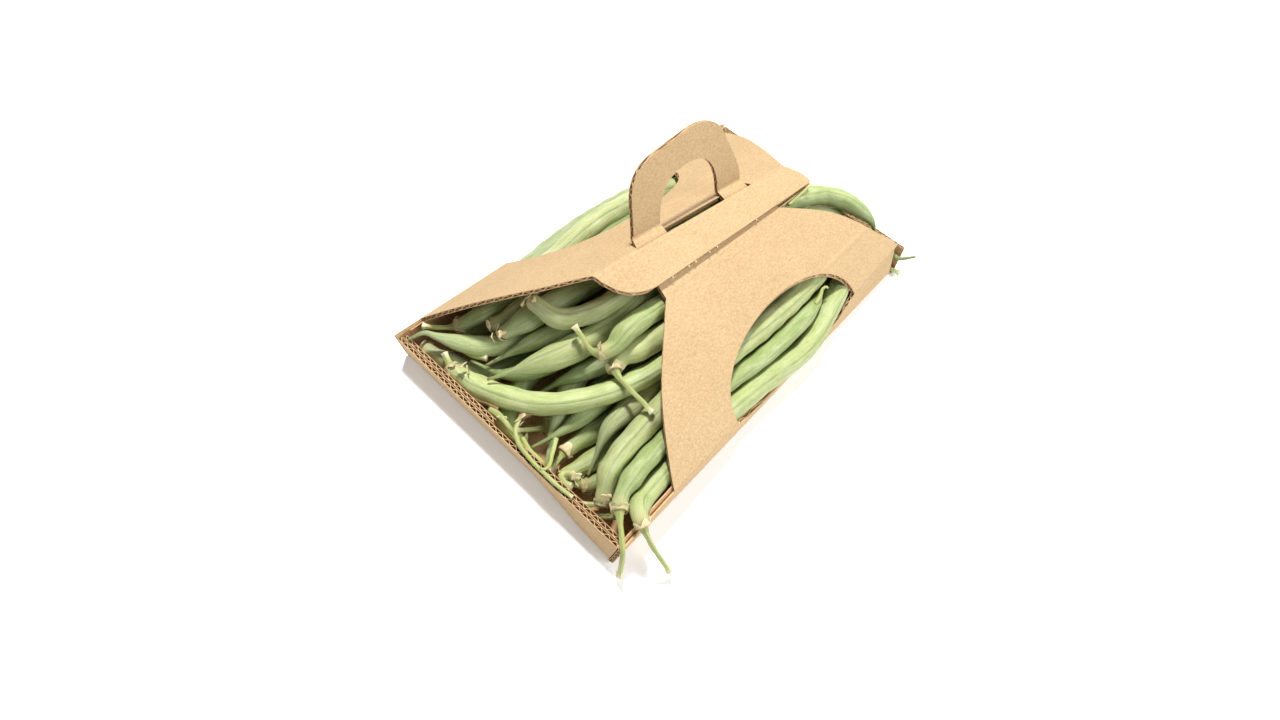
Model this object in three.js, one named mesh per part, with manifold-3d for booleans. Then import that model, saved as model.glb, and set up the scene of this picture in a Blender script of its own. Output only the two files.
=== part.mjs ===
// Fresh green beans in a small folded carton of corrugated board.
//
// Frame: millimetres, +Z up, +X along the carton's length from its front mouth to its rear mouth,
// +Y to its left side. The origin is the middle of the carton's underside.
//
// The carton is one folded sheet. It is built here as its flat panels, which meet at the creases.

import * as THREE from 'three';
import { mergeVertices } from 'three/addons/utils/BufferGeometryUtils.js';
import Module from 'manifold-3d';

const wasm = await Module();
wasm.setup();

// ---------------------------------------------------------------- driving dimensions

const LENGTH = 196;              // carton, over its end walls
const BASE_WIDTH = 111;          // carton, over its side walls at the base
const BOARD = 1.6;               // thickness of the corrugated board
const GAP = 0.3;                 // clearance between neighbouring solids
const END_WALL_HEIGHT = 15;
const FOLD_HEIGHT = 16;          // where the side walls fold over into the covers
const FLAP_LENGTH = 48;          // glued flaps inside the end walls
const FLAP_HEIGHT = 13;
const SLIT = 3.4;                // where the rear right corner has come apart
const COVER_CROWN = 1.8;         // how far the pods push the covers out
const WALL_LEAN = 0.11;          // that corner's end wall, sideways for each mm of height
const WINDOW_HALF_LENGTH = 44;
const WINDOW_DROP = 11;          // down the side wall from the fold
// Each window's middle along X, how far it reaches up the cover from the fold, seen from above,
// and the fullness of its shoulders: 1 is an ellipse and less is fuller.
const LEFT_WINDOW = { x: -1.5, rise: 29.5, fullness: 0.8 };
const RIGHT_WINDOW = { x: 10.5, rise: 19.3, fullness: 1 };

const POD_SIDES = 8;             // facets round a pod
const STALK_RADIUS = 1.15;
const CALYX_RADIUS = 2.7;
const TAIL_RADIUS = 0.55;

const FRONT = -LENGTH / 2;
const REAR = LENGTH / 2;
const HALF_BASE = BASE_WIDTH / 2;

// The long edges of the panels: [y, z] of the outer face at any x.
const leftBase = () => [HALF_BASE, 0];
const leftFold = () => [HALF_BASE - 0.5, FOLD_HEIGHT];
const rightBase = () => [-HALF_BASE, 0];
const rightFold = (x) => [-54 + 0.035 * x, FOLD_HEIGHT];
const ridge = (x) => [2.5 - 0.056 * x, 54 - 0.075 * x];
const stripEdge = (x) => [-10.1 - 0.044 * x, 49.9 - 0.033 * x];
const rightCrease = () => [-12.4, 46.7];
const handleFold = (x) => [7.25 - 0.048 * x, 53.45 - 0.086 * x];

const board = new THREE.MeshStandardMaterial({ color: 0xc9a06c, roughness: 0.85, metalness: 0 });
const podSkin = new THREE.MeshStandardMaterial({ color: 0x8fb25a, roughness: 0.5, metalness: 0 });

const carton = new THREE.Group();
const pods = new THREE.Group();

// ---------------------------------------------------------------- solids

function toSolid(geometry) {
  const bare = geometry.clone();
  bare.deleteAttribute('normal');
  bare.deleteAttribute('uv');
  const merged = mergeVertices(bare, 1e-4);
  const mesh = new wasm.Mesh({
    numProp: 3,
    vertProperties: new Float32Array(merged.attributes.position.array),
    triVerts: new Uint32Array(merged.index.array),
  });
  return new wasm.Manifold(mesh);
}

function toGeometry(solid) {
  const mesh = solid.getMesh();
  const geometry = new THREE.BufferGeometry();
  geometry.setAttribute('position', new THREE.BufferAttribute(mesh.vertProperties, 3));
  geometry.setIndex(new THREE.BufferAttribute(mesh.triVerts, 1));
  return geometry;
}

function add(group, name, geometry, material) {
  const mesh = new THREE.Mesh(geometry, material);
  mesh.name = name;
  group.add(mesh);
  return mesh;
}

function flipFaces(geometry) {
  const index = geometry.index.array;
  for (let i = 0; i < index.length; i += 3) {
    [index[i], index[i + 1]] = [index[i + 1], index[i]];
  }
}

// A panel of board between two long edges, from x = start to x = end. The edges lie on its outer
// face. side is +1 where the outer face looks towards +Y or up from the left, and -1 on the right.
function panel(start, end, lower, upper, { side = 1, crown = 0 } = {}) {
  const strips = crown > 0 ? 5 : 1;
  const outline = [];
  for (let i = 0; i <= strips; i += 1) outline.push(new THREE.Vector2(i / strips, 0));
  for (let i = strips; i >= 0; i -= 1) outline.push(new THREE.Vector2(i / strips, 1));
  const plate = new THREE.ExtrudeGeometry(new THREE.Shape(outline), {
    depth: 1, steps: 8, bevelEnabled: false,
  });
  plate.deleteAttribute('normal');
  plate.deleteAttribute('uv');
  const geometry = mergeVertices(plate, 1e-5);
  const position = geometry.attributes.position;
  for (let i = 0; i < position.count; i += 1) {
    const across = position.getX(i);
    const depth = position.getY(i) * BOARD;
    const x = start + (end - start) * position.getZ(i);
    const [y0, z0] = lower(x);
    const [y1, z1] = upper(x);
    const width = Math.hypot(y1 - y0, z1 - z0);
    const out = [side * (z1 - z0) / width, -side * (y1 - y0) / width];
    const lift = crown * 4 * across * (1 - across) - depth;
    position.setXYZ(i, x, y0 + across * (y1 - y0) + lift * out[0], z0 + across * (z1 - z0) + lift * out[1]);
  }
  if (side < 0) flipFaces(geometry);
  return toSolid(geometry);
}

// An upright prism over an outline seen from above, tall enough to cut any panel. The covers start
// at the fold, just above the side walls.
function prism(points) {
  const shape = new THREE.Shape(points.map(([x, y]) => new THREE.Vector2(x, y)));
  const geometry = new THREE.ExtrudeGeometry(shape, { depth: 100, bevelEnabled: false });
  geometry.translate(0, 0, FOLD_HEIGHT);
  return toSolid(geometry);
}

// Where the inner face of a side wall stands at height z, less the clearance.
function wallInside(base, fold, x, z) {
  const [y0] = base(x);
  const [y1] = fold(x);
  const y = y0 + (y1 - y0) * z / FOLD_HEIGHT;
  return y - Math.sign(y) * (BOARD + GAP + 0.1);
}

// An upright board across the carton, from one x to another, between two side limits that are
// each given as a function of the height.
function crossBoard(x0, x1, z0, z1, right, left) {
  const corners = [[right(z0), z0], [left(z0), z0], [left(z1), z1], [right(z1), z1]];
  const shape = new THREE.Shape(corners.map(([y, z]) => new THREE.Vector2(y, z)));
  const geometry = new THREE.ExtrudeGeometry(shape, { depth: x1 - x0, bevelEnabled: false });
  geometry.rotateX(Math.PI / 2);
  geometry.rotateZ(Math.PI / 2);
  geometry.translate(x0, 0, 0);
  return geometry;
}

// Points of a smooth edge through a few given ones.
function smoothEdge(points, count) {
  const curve = new THREE.SplineCurve(points.map(([x, y]) => new THREE.Vector2(x, y)));
  return curve.getPoints(count).map((p) => [p.x, p.y]);
}

// A window is an oval cut across the fold: part in the cover, part in the side wall.
function coverWindow({ x, rise, fullness }, foldY, side) {
  const beyond = foldY + side * 8;
  const points = [[x - WINDOW_HALF_LENGTH, beyond]];
  for (let i = 0; i <= 14; i += 1) {
    const turn = Math.PI * (1 - i / 14);
    const cos = Math.cos(turn);
    const along = Math.sign(cos) * Math.abs(cos) ** fullness;
    const up = Math.abs(Math.sin(turn)) ** fullness;
    points.push([x + WINDOW_HALF_LENGTH * along, foldY - side * rise * up]);
  }
  points.push([x + WINDOW_HALF_LENGTH, beyond]);
  return prism(points);
}

function wallWindow({ x }) {
  const shape = new THREE.Shape();
  shape.moveTo(x + WINDOW_HALF_LENGTH, FOLD_HEIGHT + 8);
  shape.lineTo(x - WINDOW_HALF_LENGTH, FOLD_HEIGHT + 8);
  shape.lineTo(x - WINDOW_HALF_LENGTH, FOLD_HEIGHT);
  shape.absellipse(x, FOLD_HEIGHT, WINDOW_HALF_LENGTH, WINDOW_DROP, Math.PI, 2 * Math.PI, false, 0);
  const geometry = new THREE.ExtrudeGeometry(shape, { depth: 160, bevelEnabled: false, curveSegments: 7 });
  geometry.translate(0, 0, -80);
  geometry.rotateX(Math.PI / 2);
  return toSolid(geometry);
}

// ---------------------------------------------------------------- carton

function buildTray() {
  const inset = BOARD + GAP;
  const floorHalf = HALF_BASE - inset - 0.6;
  const floor = new THREE.BoxGeometry(LENGTH - 2 * inset, 2 * floorHalf, BOARD);
  floor.translate(0, 0, BOARD / 2);
  add(carton, 'tray_bottom', floor, board);

  for (const [name, end, inward] of [['front', FRONT, 1], ['rear', REAR, -1]]) {
    const span = (from, to) => [end + inward * from, end + inward * to].sort((a, b) => a - b);
    const right = (z) => wallInside(rightBase, rightFold, end, z);
    const left = (z) => wallInside(leftBase, leftFold, end, z);
    const apart = end === REAR;
    const rightEnd = apart ? (z) => -HALF_BASE + WALL_LEAN * z : right;
    const wall = crossBoard(...span(0, BOARD), 0, END_WALL_HEIGHT, rightEnd, left);
    add(carton, `${name}_end_wall`, wall, board);

    const layer = span(inset, inset + BOARD);
    const low = BOARD + GAP;
    const high = low + FLAP_HEIGHT;
    const leftFlap = crossBoard(...layer, low, high, (z) => left(z) - FLAP_LENGTH, (z) => left(z) - GAP);
    const back = apart ? 6 : GAP;
    const flapEnd = (z) => right(z) + FLAP_LENGTH;
    const rightFlap = crossBoard(...layer, low, high, (z) => right(z) + back, flapEnd);
    add(carton, `${name}_left_flap`, leftFlap, board);
    add(carton, `${name}_right_flap`, rightFlap, board);
  }
}

function buildSideWalls() {
  const clearFold = (edge) => (x) => {
    const [y, z] = edge(x);
    return [y, z - GAP];
  };
  const wall = (base, fold, side, end) => (
    panel(FRONT, end, base, clearFold(fold), { side }).trimByPlane([0, 0, 1], 0)
  );
  const left = wall(leftBase, leftFold, 1, REAR);
  const right = wall(rightBase, rightFold, -1, REAR - BOARD - SLIT);
  add(carton, 'left_side_wall', toGeometry(left.subtract(wallWindow(LEFT_WINDOW))), board);
  add(carton, 'right_side_wall', toGeometry(right.subtract(wallWindow(RIGHT_WINDOW))), board);
}

function buildCovers() {
  // The left cover ends at the ridge, where a slot lets the handle's legs through.
  const beside = (x, offset) => [x, ridge(x)[0] + offset];
  const leftOutline = [
    ...smoothEdge([[-87, 60], [-86.5, 53], [-80, 38], [-66, 17.5], beside(-52.5, GAP / 2)], 8),
    beside(-31.6, GAP / 2), beside(-29.2, 5.2), beside(-14.1, 5.2), beside(-14.1, 2.9),
    beside(17.1, 2.9), beside(17.1, 5.2), beside(32.2, 5.2), beside(32.6, GAP / 2),
    ...smoothEdge([beside(54, GAP / 2), [69, 18], [80, 34], [86.5, 53], [87, 60]], 8),
  ];
  const left = panel(-90, 90, leftFold, ridge, { side: 1, crown: COVER_CROWN });
  const leftWindow = coverWindow(LEFT_WINDOW, leftFold()[0], 1);
  add(carton, 'left_cover', toGeometry(left.intersect(prism(leftOutline)).subtract(leftWindow)), board);

  const stripOutline = [
    beside(-52.5, -GAP / 2),
    [-50.7, 1.4], [-47.3, -3.2], [-42.3, -6.4], [-36.8, -8.1], [-31.5, stripEdge(-31.5)[0]],
    [57, stripEdge(57)[0]], [58.4, -11.4], [57.6, -6.7], beside(53.8, -GAP / 2),
  ];
  const strip = panel(-60, 60, stripEdge, ridge, { side: -1 });
  add(carton, 'lock_strip', toGeometry(strip.intersect(prism(stripOutline))), board);

  const creaseY = rightCrease()[0];
  const rightOutline = [
    ...smoothEdge([[-72.5, -62], [-71, -56.5], [-66.5, -48], [-55.7, -33], [-33, creaseY - GAP / 2]], 8),
    ...smoothEdge([[36, creaseY - GAP / 2], [62, -26], [83.4, -42], [95.5, -50.5], [97, -56]], 8),
  ];
  const right = panel(-76, REAR, rightFold, rightCrease, { side: -1, crown: COVER_CROWN });
  const rightWindow = coverWindow(RIGHT_WINDOW, rightFold(RIGHT_WINDOW.x)[0], -1);
  add(carton, 'right_cover', toGeometry(right.intersect(prism(rightOutline)).subtract(rightWindow)), board);
}

// The right cover goes on past its crease as a band under the lock strip. Two legs of the band
// come up through the slot and carry the handle.
function buildHandle() {
  const creaseY = rightCrease()[0];
  const bandOutline = [
    [-33, creaseY + GAP / 2], [-31, 3], [-28.8, handleFold(-28.8)[0]], [-14.5, handleFold(-14.5)[0]],
    [-14.5, -3], [17.5, -3],
    [17.5, handleFold(17.5)[0]], [31.8, handleFold(31.8)[0]], [32.5, 0], [36, creaseY + GAP / 2],
  ];
  const band = panel(-34, 37, rightCrease, handleFold, { side: -1 });
  add(carton, 'handle_band', toGeometry(band.intersect(prism(bandOutline))), board);

  // The handle is a flat arch that leans back to the left. It is drawn in its own plane, with u
  // along the fold from its middle and v up from the fold.
  const arch = new THREE.Shape();
  arch.moveTo(-28.5, GAP);
  arch.lineTo(-28.5, 12.5);
  arch.bezierCurveTo(-28.5, 21, -24, 24.5, -17, 26);
  arch.lineTo(2, 29.6);
  arch.bezierCurveTo(12, 30.5, 19.5, 26.5, 22.2, 19.6);
  arch.lineTo(28.7, 9.8);
  arch.quadraticCurveTo(31.2, 5, 31.5, GAP);
  arch.lineTo(18, GAP);
  arch.bezierCurveTo(17.4, 9, 13.5, 17.2, 2.5, 17.4);
  arch.bezierCurveTo(-10.5, 17.4, -15, 11, -15, GAP);
  arch.closePath();
  const plate = new THREE.ExtrudeGeometry(arch, { depth: BOARD, bevelEnabled: false, curveSegments: 6 });
  plate.translate(0, 0, -BOARD);
  const [y0, z0] = handleFold(0);
  const [y1, z1] = handleFold(1);
  const along = new THREE.Vector3(1, y1 - y0, z1 - z0).normalize();
  const lean = THREE.MathUtils.degToRad(20);
  const upright = new THREE.Vector3(0, Math.sin(lean), Math.cos(lean));
  const up = upright.addScaledVector(along, -upright.dot(along)).normalize();
  const out = new THREE.Vector3().crossVectors(along, up);
  const handle = add(carton, 'handle', plate, board);
  handle.quaternion.setFromRotationMatrix(new THREE.Matrix4().makeBasis(along, up, out));
  handle.position.set(0, y0, z0);
}

// ---------------------------------------------------------------- pods

// Each pod is one solid: stalk, calyx, body and tail. A row gives the length of its stalk, the width
// of its body and its route, which runs from the cut end of the stalk (or from the calyx, where
// there is no stalk) to the tip of the tail.
const PODS = [
  // lying across the front mouth, tails or stems towards the front wall
  [6, 8.4, [
    [-90, 37, 15], [-92, 30, 13], [-88, 9, 15], [-76, -8, 19],
    [-57, -20, 25], [0, -28, 31], [20, -24, 33],
  ]],
  [0, 10.4, [[25, 2, 42], [0, -2, 42], [-30, -6, 39], [-58, 0, 31], [-77, 9, 25], [-88, 16, 21]]],
  [0, 8.0, [[30, 3, 23], [-15, 0, 21], [-60, 6, 17], [-80, 16, 15], [-85, 29, 15]]],
  [0, 8.4, [[20, 8, 33], [-25, 12, 32], [-59, 14, 27], [-71, 18, 23], [-84, 23, 17]]],
  [0, 7.6, [[30, 22, 26], [-20, 18, 23.5], [-69, 20, 20], [-84, 35, 19], [-92, 48, 19], [-95, 50, 16]]],
  [13, 8.4, [[-87, 51, 16], [-81, 43, 18], [-65, 34, 26], [-30, 31, 32], [20, 30, 30], [45, 32, 24]]],
  [0, 8, [[-73, 33, 23], [-63, 29, 27], [-30, 24, 37], [10, 20, 39], [40, 18, 36]]],
  [0, 8.6, [[-75, 25, 25], [-62, 20, 30], [-25, 11, 40], [20, 9, 42], [50, 10, 37]]],
  [0, 8, [[-64, 21, 41], [-61, 10, 38], [-50, 2, 39], [-30, 0, 44], [15, 1, 47]]],
  [0, 8, [[-2, 15, 33], [-25, 17, 34], [-45, 15, 33], [-58, 17, 31], [-68, 23, 27]]],
  [13, 8.6, [[-60, 3, 39], [-59, -9, 35], [-31, -9, 43], [10, -8, 42.5], [55, -6, 37]]],
  [20, 8.2, [[-60, -33, 28], [-57, -13, 32], [-38, -16, 38], [0, -18, 37], [45, -19, 32]]],
  [0, 8.4, [[20, -12, 31], [-20, -12, 30], [-58, -6, 23], [-78, 4, 13]]],
  [0, 8.2, [[30, -20, 12], [0, -18, 12], [-50, -15, 15], [-71, -15, 15], [-86, -12, 13], [-92, -10, 12]]],
  [0, 8.2, [[15, 8, 13], [-30, 8, 14], [-64, -2, 15], [-80, -9, 13], [-92, -17, 7]]],
  [0, 8.6, [[30, -16, 19], [-10, -19, 19], [-50, -25, 17], [-70, -25, 16], [-84, -30, 8]]],
  [9, 8, [[-92, -19, 6], [-84, -18, 8], [-55, -24, 11], [0, -26, 10], [45, -23.6, 11.2]]],
  [12, 8.2, [[-92, -1, 12], [-80, -6, 8], [-55, -8, 9], [0, -8, 9], [45, -6, 12]]],

  // beside the right wall, behind the right window
  [0, 9.4, [
    [-90, -41, 13], [-73, -32.6, 18.4], [-55, -33, 21], [-30, -38.6, 21],
    [-7, -39.8, 21.5], [20, -38.6, 22.5], [42, -36.5, 23], [72, -32, 20],
  ]],
  [28, 7.2, [
    [-100, -60, 4], [-98, -57, 19], [-87, -47, 19], [-66, -43, 19],
    [-50, -41.6, 18.3], [-26, -44, 16.4], [-4, -45.8, 15], [32, -45.3, 15.5],
    [44, -43.5, 14], [52, -41, 12],
  ]],
  [22, 8.6, [
    [-88, -71, 5], [-90, -61, 18], [-86, -53, 19], [-75, -46, 11.2], [-66, -45.4, 10],
    [-42, -46.4, 11.4], [-24, -49.6, 13], [-8, -52, 11.5], [8, -52, 10], [34, -51.4, 10.5],
    [52, -47, 12], [68, -42, 14], [82, -36, 15],
  ]],
  [9, 7.8, [[-91, -22, 5], [-86, -31, 7], [-60, -35, 8], [-15, -36, 8], [35, -36, 8]]],
  [12, 7.8, [[-92, -35, 5], [-84, -42, 6], [-50, -44, 6], [0, -44, 6], [30, -44, 6]]],

  // beside the left wall, behind the left window
  [0, 10, [
    [75, 30, 20], [50, 35, 23], [30, 37, 26], [8, 43, 23],
    [-18, 45, 22], [-38, 48, 18], [-62, 46, 11],
  ]],
  [10, 8.4, [[-88, 40, 5], [-76, 44, 6], [-30, 47, 8], [20, 47, 8], [55, 46, 8]]],
  [0, 8.2, [[60, 49, 12], [20, 49, 15], [-20, 49, 15], [-66, 46, 8]]],

  // at the rear mouth
  [0, 8.2, [
    [22, -6, 44], [42, -9, 42], [54, -12, 40], [69, -16, 35],
    [82, -28, 30], [88, -37, 24], [91, -41, 15],
  ]],
  [0, 8.2, [[80, -24, 25], [72, -20, 28], [55, -14, 30], [20, -14, 24], [-20, -16, 13]]],
  [0, 7, [
    [38, -42, 5], [62, -45, 7], [84, -43, 12], [91, -45, 12],
    [95, -51, 10], [95.2, -56, 11], [98, -60, 14],
  ]],
  [22, 8, [
    [97, -58, 2], [94.7, -56, 3], [94.7, -49, 4], [87, -41, 5],
    [70, -33, 6], [30, -28, 12], [-10, -26, 12],
  ]],
  [14, 8.6, [[85, 6, 20], [77, 5, 24], [60, 4, 29], [20, 0, 34], [-20, -2, 35]]],
  [0, 8.4, [[-30, 36, 16], [20, 35, 20], [60, 27, 24], [76, 22, 20], [84, 20, 16]]],
  [11, 8.2, [[93, 34, 14], [82, 32, 14], [50, 27, 14], [10, 25, 14], [-30, 26, 14]]],
  [0, 8.2, [[-20, 4, 27], [20, -2, 26], [60, -4, 24], [78, -12, 18], [88, -17, 12]]],
  [10, 8.4, [[93, 44, 8], [84, 40, 9], [50, 38, 9], [0, 38, 8], [-40, 38, 7]]],
  [12, 8.4, [[88, -6, 12], [79, -4, 14], [60, 0, 16], [25, 0, 15]]],
  [0, 8.2, [[-40, 28, 8], [10, 28, 8], [50, 26, 8], [80, 22, 12], [93, 26, 14]]],
  [9, 8.2, [[93, -34, 8], [84, -32, 7], [50, -28, 7], [0, -20, 6], [-40, -14, 5]]],
  [0, 8.4, [[-50, 18, 7], [0, 18, 7], [50, 14, 8], [80, 8, 9], [93, 4, 8]]],
  [8, 8, [[92, -16, 6], [84, -14, 6], [50, -14, 6], [0, 2, 6], [-40, 4, 6]]],
  [10, 8, [[71, 12, 30], [60, 13, 32], [40, 16, 33], [0, 22, 31], [-40, 24, 26]]],
  [12, 8, [[80, -7, 29], [73, -5, 28], [60, -4, 31], [40, -2, 38], [-10, -9, 38]]],

  // low down along the front wall
  [0, 7.4, [[-91, 48, 8], [-89, 38, 9], [-80, 24, 7], [-50, 22, 7], [-10, 26, 6]]],
  [15, 7.4, [[-93, -19, 6], [-92, -6, 7], [-88, 7, 6], [-70, 14, 7], [-30, 12, 6], [0, 10, 6]]],
  [0, 7.8, [[-91, -25, 7], [-77, -28, 8], [-59, -30, 8], [-20, -34, 8], [20, -36, 8]]],
].map(([stalk, width, route]) => ({ stalk, width, route }));

const MOUTH = 26;                // length of the tray in front of the covers, where pods lie over its wall
const BULGE = 4.6;               // how far a window lets a pod out of the board's inner face
const CHAIN = 25;                // points that stand for one pod while the heap settles
const SETTLE_ROUNDS = 400;

// Radius of a pod at a distance from its stem end: [distance, radius] pairs, straight between.
function podProfile({ stalk, width }, length) {
  const full = width / 2;
  const neck = [];
  for (let s = 0; s < stalk - 5; s += 5) neck.push([s, STALK_RADIUS]);
  if (stalk > 0) neck.push([stalk - 2.5, STALK_RADIUS]);
  else neck.push([0, 0.8 * CALYX_RADIUS]);
  const tail = length - 14;
  return [
    ...neck,
    [stalk + 0.8, CALYX_RADIUS], [stalk + 5, 0.72 * full], [stalk + 12, full],
    [(stalk + 12) * 0.75 + (length - 30) * 0.25, full], [(stalk + 12 + length - 30) / 2, full],
    [(stalk + 12) * 0.25 + (length - 30) * 0.75, full], [length - 30, full],
    [tail - 4, 0.72 * full], [tail + 3, 0.36 * full], [tail + 7, TAIL_RADIUS * 1.6], [length, TAIL_RADIUS],
  ];
}

function radiusAt(profile, distance) {
  for (let i = 1; i < profile.length; i += 1) {
    const [s0, r0] = profile[i - 1];
    const [s1, r1] = profile[i];
    if (distance <= s1) return r0 + (r1 - r0) * Math.max(0, (distance - s0) / (s1 - s0));
  }
  return profile[profile.length - 1][1];
}

// Stalks and tails that hang over a wall stay where their route puts them.
function isOutside(p) {
  return Math.abs(p.x) > REAR - BOARD || p.y < rightFold(p.x)[0] + BOARD;
}

function startChain(pod) {
  const curve = new THREE.CatmullRomCurve3(pod.route.map((p) => new THREE.Vector3(...p)));
  const length = curve.getLength();
  const profile = podProfile(pod, length);
  const points = curve.getSpacedPoints(CHAIN - 1);
  const radii = points.map((p, i) => radiusAt(profile, length * i / (CHAIN - 1)));
  const bends = points.map((p, i) => {
    if (i === 0 || i === CHAIN - 1) return new THREE.Vector3();
    return p.clone().sub(points[i - 1].clone().add(points[i + 1]).multiplyScalar(0.5));
  });
  const home = points.map((p) => p.clone());
  return { points, radii, bends, home, hanging: home.map(isOutside), link: length / (CHAIN - 1) };
}

// Nearest points of two segments, as the two fractions along them.
function nearest(a0, a1, b0, b1) {
  const u = a1.clone().sub(a0);
  const v = b1.clone().sub(b0);
  const w = a0.clone().sub(b0);
  const uu = u.dot(u);
  const uv = u.dot(v);
  const vv = v.dot(v);
  const uw = u.dot(w);
  const vw = v.dot(w);
  const det = uu * vv - uv * uv;
  let s = det > 1e-6 ? THREE.MathUtils.clamp((uv * vw - vv * uw) / det, 0, 1) : 0.5;
  let t = (uv * s + vw) / vv;
  t = THREE.MathUtils.clamp(t, 0, 1);
  s = THREE.MathUtils.clamp((uv * t - uw) / uu, 0, 1);
  return [s, t];
}

function partChains(a, b) {
  for (let i = 0; i < CHAIN - 1; i += 1) {
    for (let j = 0; j < CHAIN - 1; j += 1) {
      const reach = a.radii[i] + b.radii[j] + a.link + b.link;
      if (a.points[i].distanceToSquared(b.points[j]) > reach * reach) continue;
      const [s, t] = nearest(a.points[i], a.points[i + 1], b.points[j], b.points[j + 1]);
      const onA = a.points[i].clone().lerp(a.points[i + 1], s);
      const onB = b.points[j].clone().lerp(b.points[j + 1], t);
      const apart = onA.sub(onB);
      const distance = Math.max(apart.length(), 1e-3);
      const radiusA = a.radii[i] + (a.radii[i + 1] - a.radii[i]) * s;
      const radiusB = b.radii[j] + (b.radii[j + 1] - b.radii[j]) * t;
      const missing = radiusA + radiusB + 2 * GAP - distance;
      if (missing <= 0) continue;
      const push = apart.multiplyScalar(0.5 * missing / distance);
      a.points[i].addScaledVector(push, 1 - s);
      a.points[i + 1].addScaledVector(push, s);
      b.points[j].addScaledVector(push, -(1 - t));
      b.points[j + 1].addScaledVector(push, -t);
    }
  }
}

// How far inside a window's oval a point is: 1 at its middle and 0 on its edge, below 0 outside.
function inWindow(p, { x, rise }, foldY, radius) {
  const along = (p.x - x) / (WINDOW_HALF_LENGTH - 0.8 * radius);
  const across = p.z > FOLD_HEIGHT - 2
    ? (Math.abs(foldY) - Math.abs(p.y)) / (rise - radius)
    : (FOLD_HEIGHT - p.z) / (WINDOW_DROP - radius);
  return 1 - Math.hypot(along, Math.max(across, 0));
}

// The panels over the pods: the plane of each, the x where it starts and ends at any y, and the
// side of the window it has.
const COVERS = [
  {
    lower: leftFold, upper: ridge, side: 1, open: 0,
    front: (y) => -52.5 - 0.72 * Math.max(y - 6, 0), rear: (y) => 54 + 0.61 * Math.max(y, 0),
  },
  {
    lower: rightFold, upper: rightCrease, side: -1, open: 1,
    front: (y) => -33 + 0.8 * (y + 12.4), rear: (y) => 36 - 1.4 * (y + 12.4),
  },
  { lower: rightCrease, upper: handleFold, side: -1, front: () => -33, rear: () => 36 },
  { lower: stripEdge, upper: ridge, side: -1, front: () => -50, rear: () => 58 },
];

// Pushes a point of a pod in from the board around it. In a window it may bulge out a little.
function keepInside(p, radius) {
  const room = radius + BOARD + 2 * GAP;
  p.z = Math.max(p.z, room);
  const foldY = [leftFold(p.x)[0], rightFold(p.x)[0]];
  const bulges = [LEFT_WINDOW, RIGHT_WINDOW].map((opening, i) => {
    const inside = p.y * foldY[i] > 0 ? inWindow(p, opening, foldY[i], radius) : -1;
    return BULGE * THREE.MathUtils.clamp(3 * inside, 0, 1);
  });
  const overWall = p.z > FOLD_HEIGHT + radius && (p.x < FRONT + MOUTH || p.x > REAR - MOUTH / 2);
  if (!overWall) {
    const height = Math.min(p.z / FOLD_HEIGHT, 1);
    const rightFace = -HALF_BASE + (foldY[1] + HALF_BASE) * height;
    p.y = Math.max(p.y, rightFace + room - bulges[1]);
    p.y = Math.min(p.y, foldY[0] - room + bulges[0]);
    const endRoom = room + BOARD + GAP;
    if (p.z < END_WALL_HEIGHT + radius) p.x = THREE.MathUtils.clamp(p.x, FRONT + endRoom, REAR - endRoom);
  }
  for (const { lower, upper, side, front, rear, open } of COVERS) {
    if (p.x < front(p.y) - radius || p.x > rear(p.y) + radius) continue;
    const [y0, z0] = lower(p.x);
    const [y1, z1] = upper(p.x);
    const width = Math.hypot(y1 - y0, z1 - z0);
    const out = [side * (z1 - z0) / width, -side * (y1 - y0) / width];
    const bulge = open === undefined ? 0 : bulges[open];
    const outside = (p.y - y0) * out[0] + (p.z - z0) * out[1] + room - bulge;
    if (outside > 0) {
      p.y -= outside * out[0];
      p.z -= outside * out[1];
    }
  }
}

// Lets the pods push each other apart until none overlap, each keeping its length and its curve.
function settle(chains) {
  for (let round = 0; round < SETTLE_ROUNDS; round += 1) {
    for (let i = 0; i < chains.length; i += 1) {
      for (let j = i + 1; j < chains.length; j += 1) partChains(chains[i], chains[j]);
    }
    for (const { points, radii, bends, home, hanging, link } of chains) {
      const easing = Math.max(0, 1 - 1.25 * round / SETTLE_ROUNDS);
      for (let i = 1; i < CHAIN - 1; i += 1) {
        const smooth = points[i - 1].clone().add(points[i + 1]).multiplyScalar(0.5).add(bends[i]);
        points[i].lerp(smooth, 0.3 * easing);
      }
      for (let i = 0; i < CHAIN; i += 1) points[i].lerp(home[i], 0.03 * easing);
      for (let i = 1; i < CHAIN; i += 1) {
        const step = points[i].clone().sub(points[i - 1]);
        const excess = 0.5 * (1 - link / step.length());
        points[i].addScaledVector(step, -excess);
        points[i - 1].addScaledVector(step, excess);
      }
      points.forEach((p, i) => {
        if (hanging[i]) p.copy(home[i]);
        else keepInside(p, radii[i]);
      });
    }
  }
}

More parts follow.
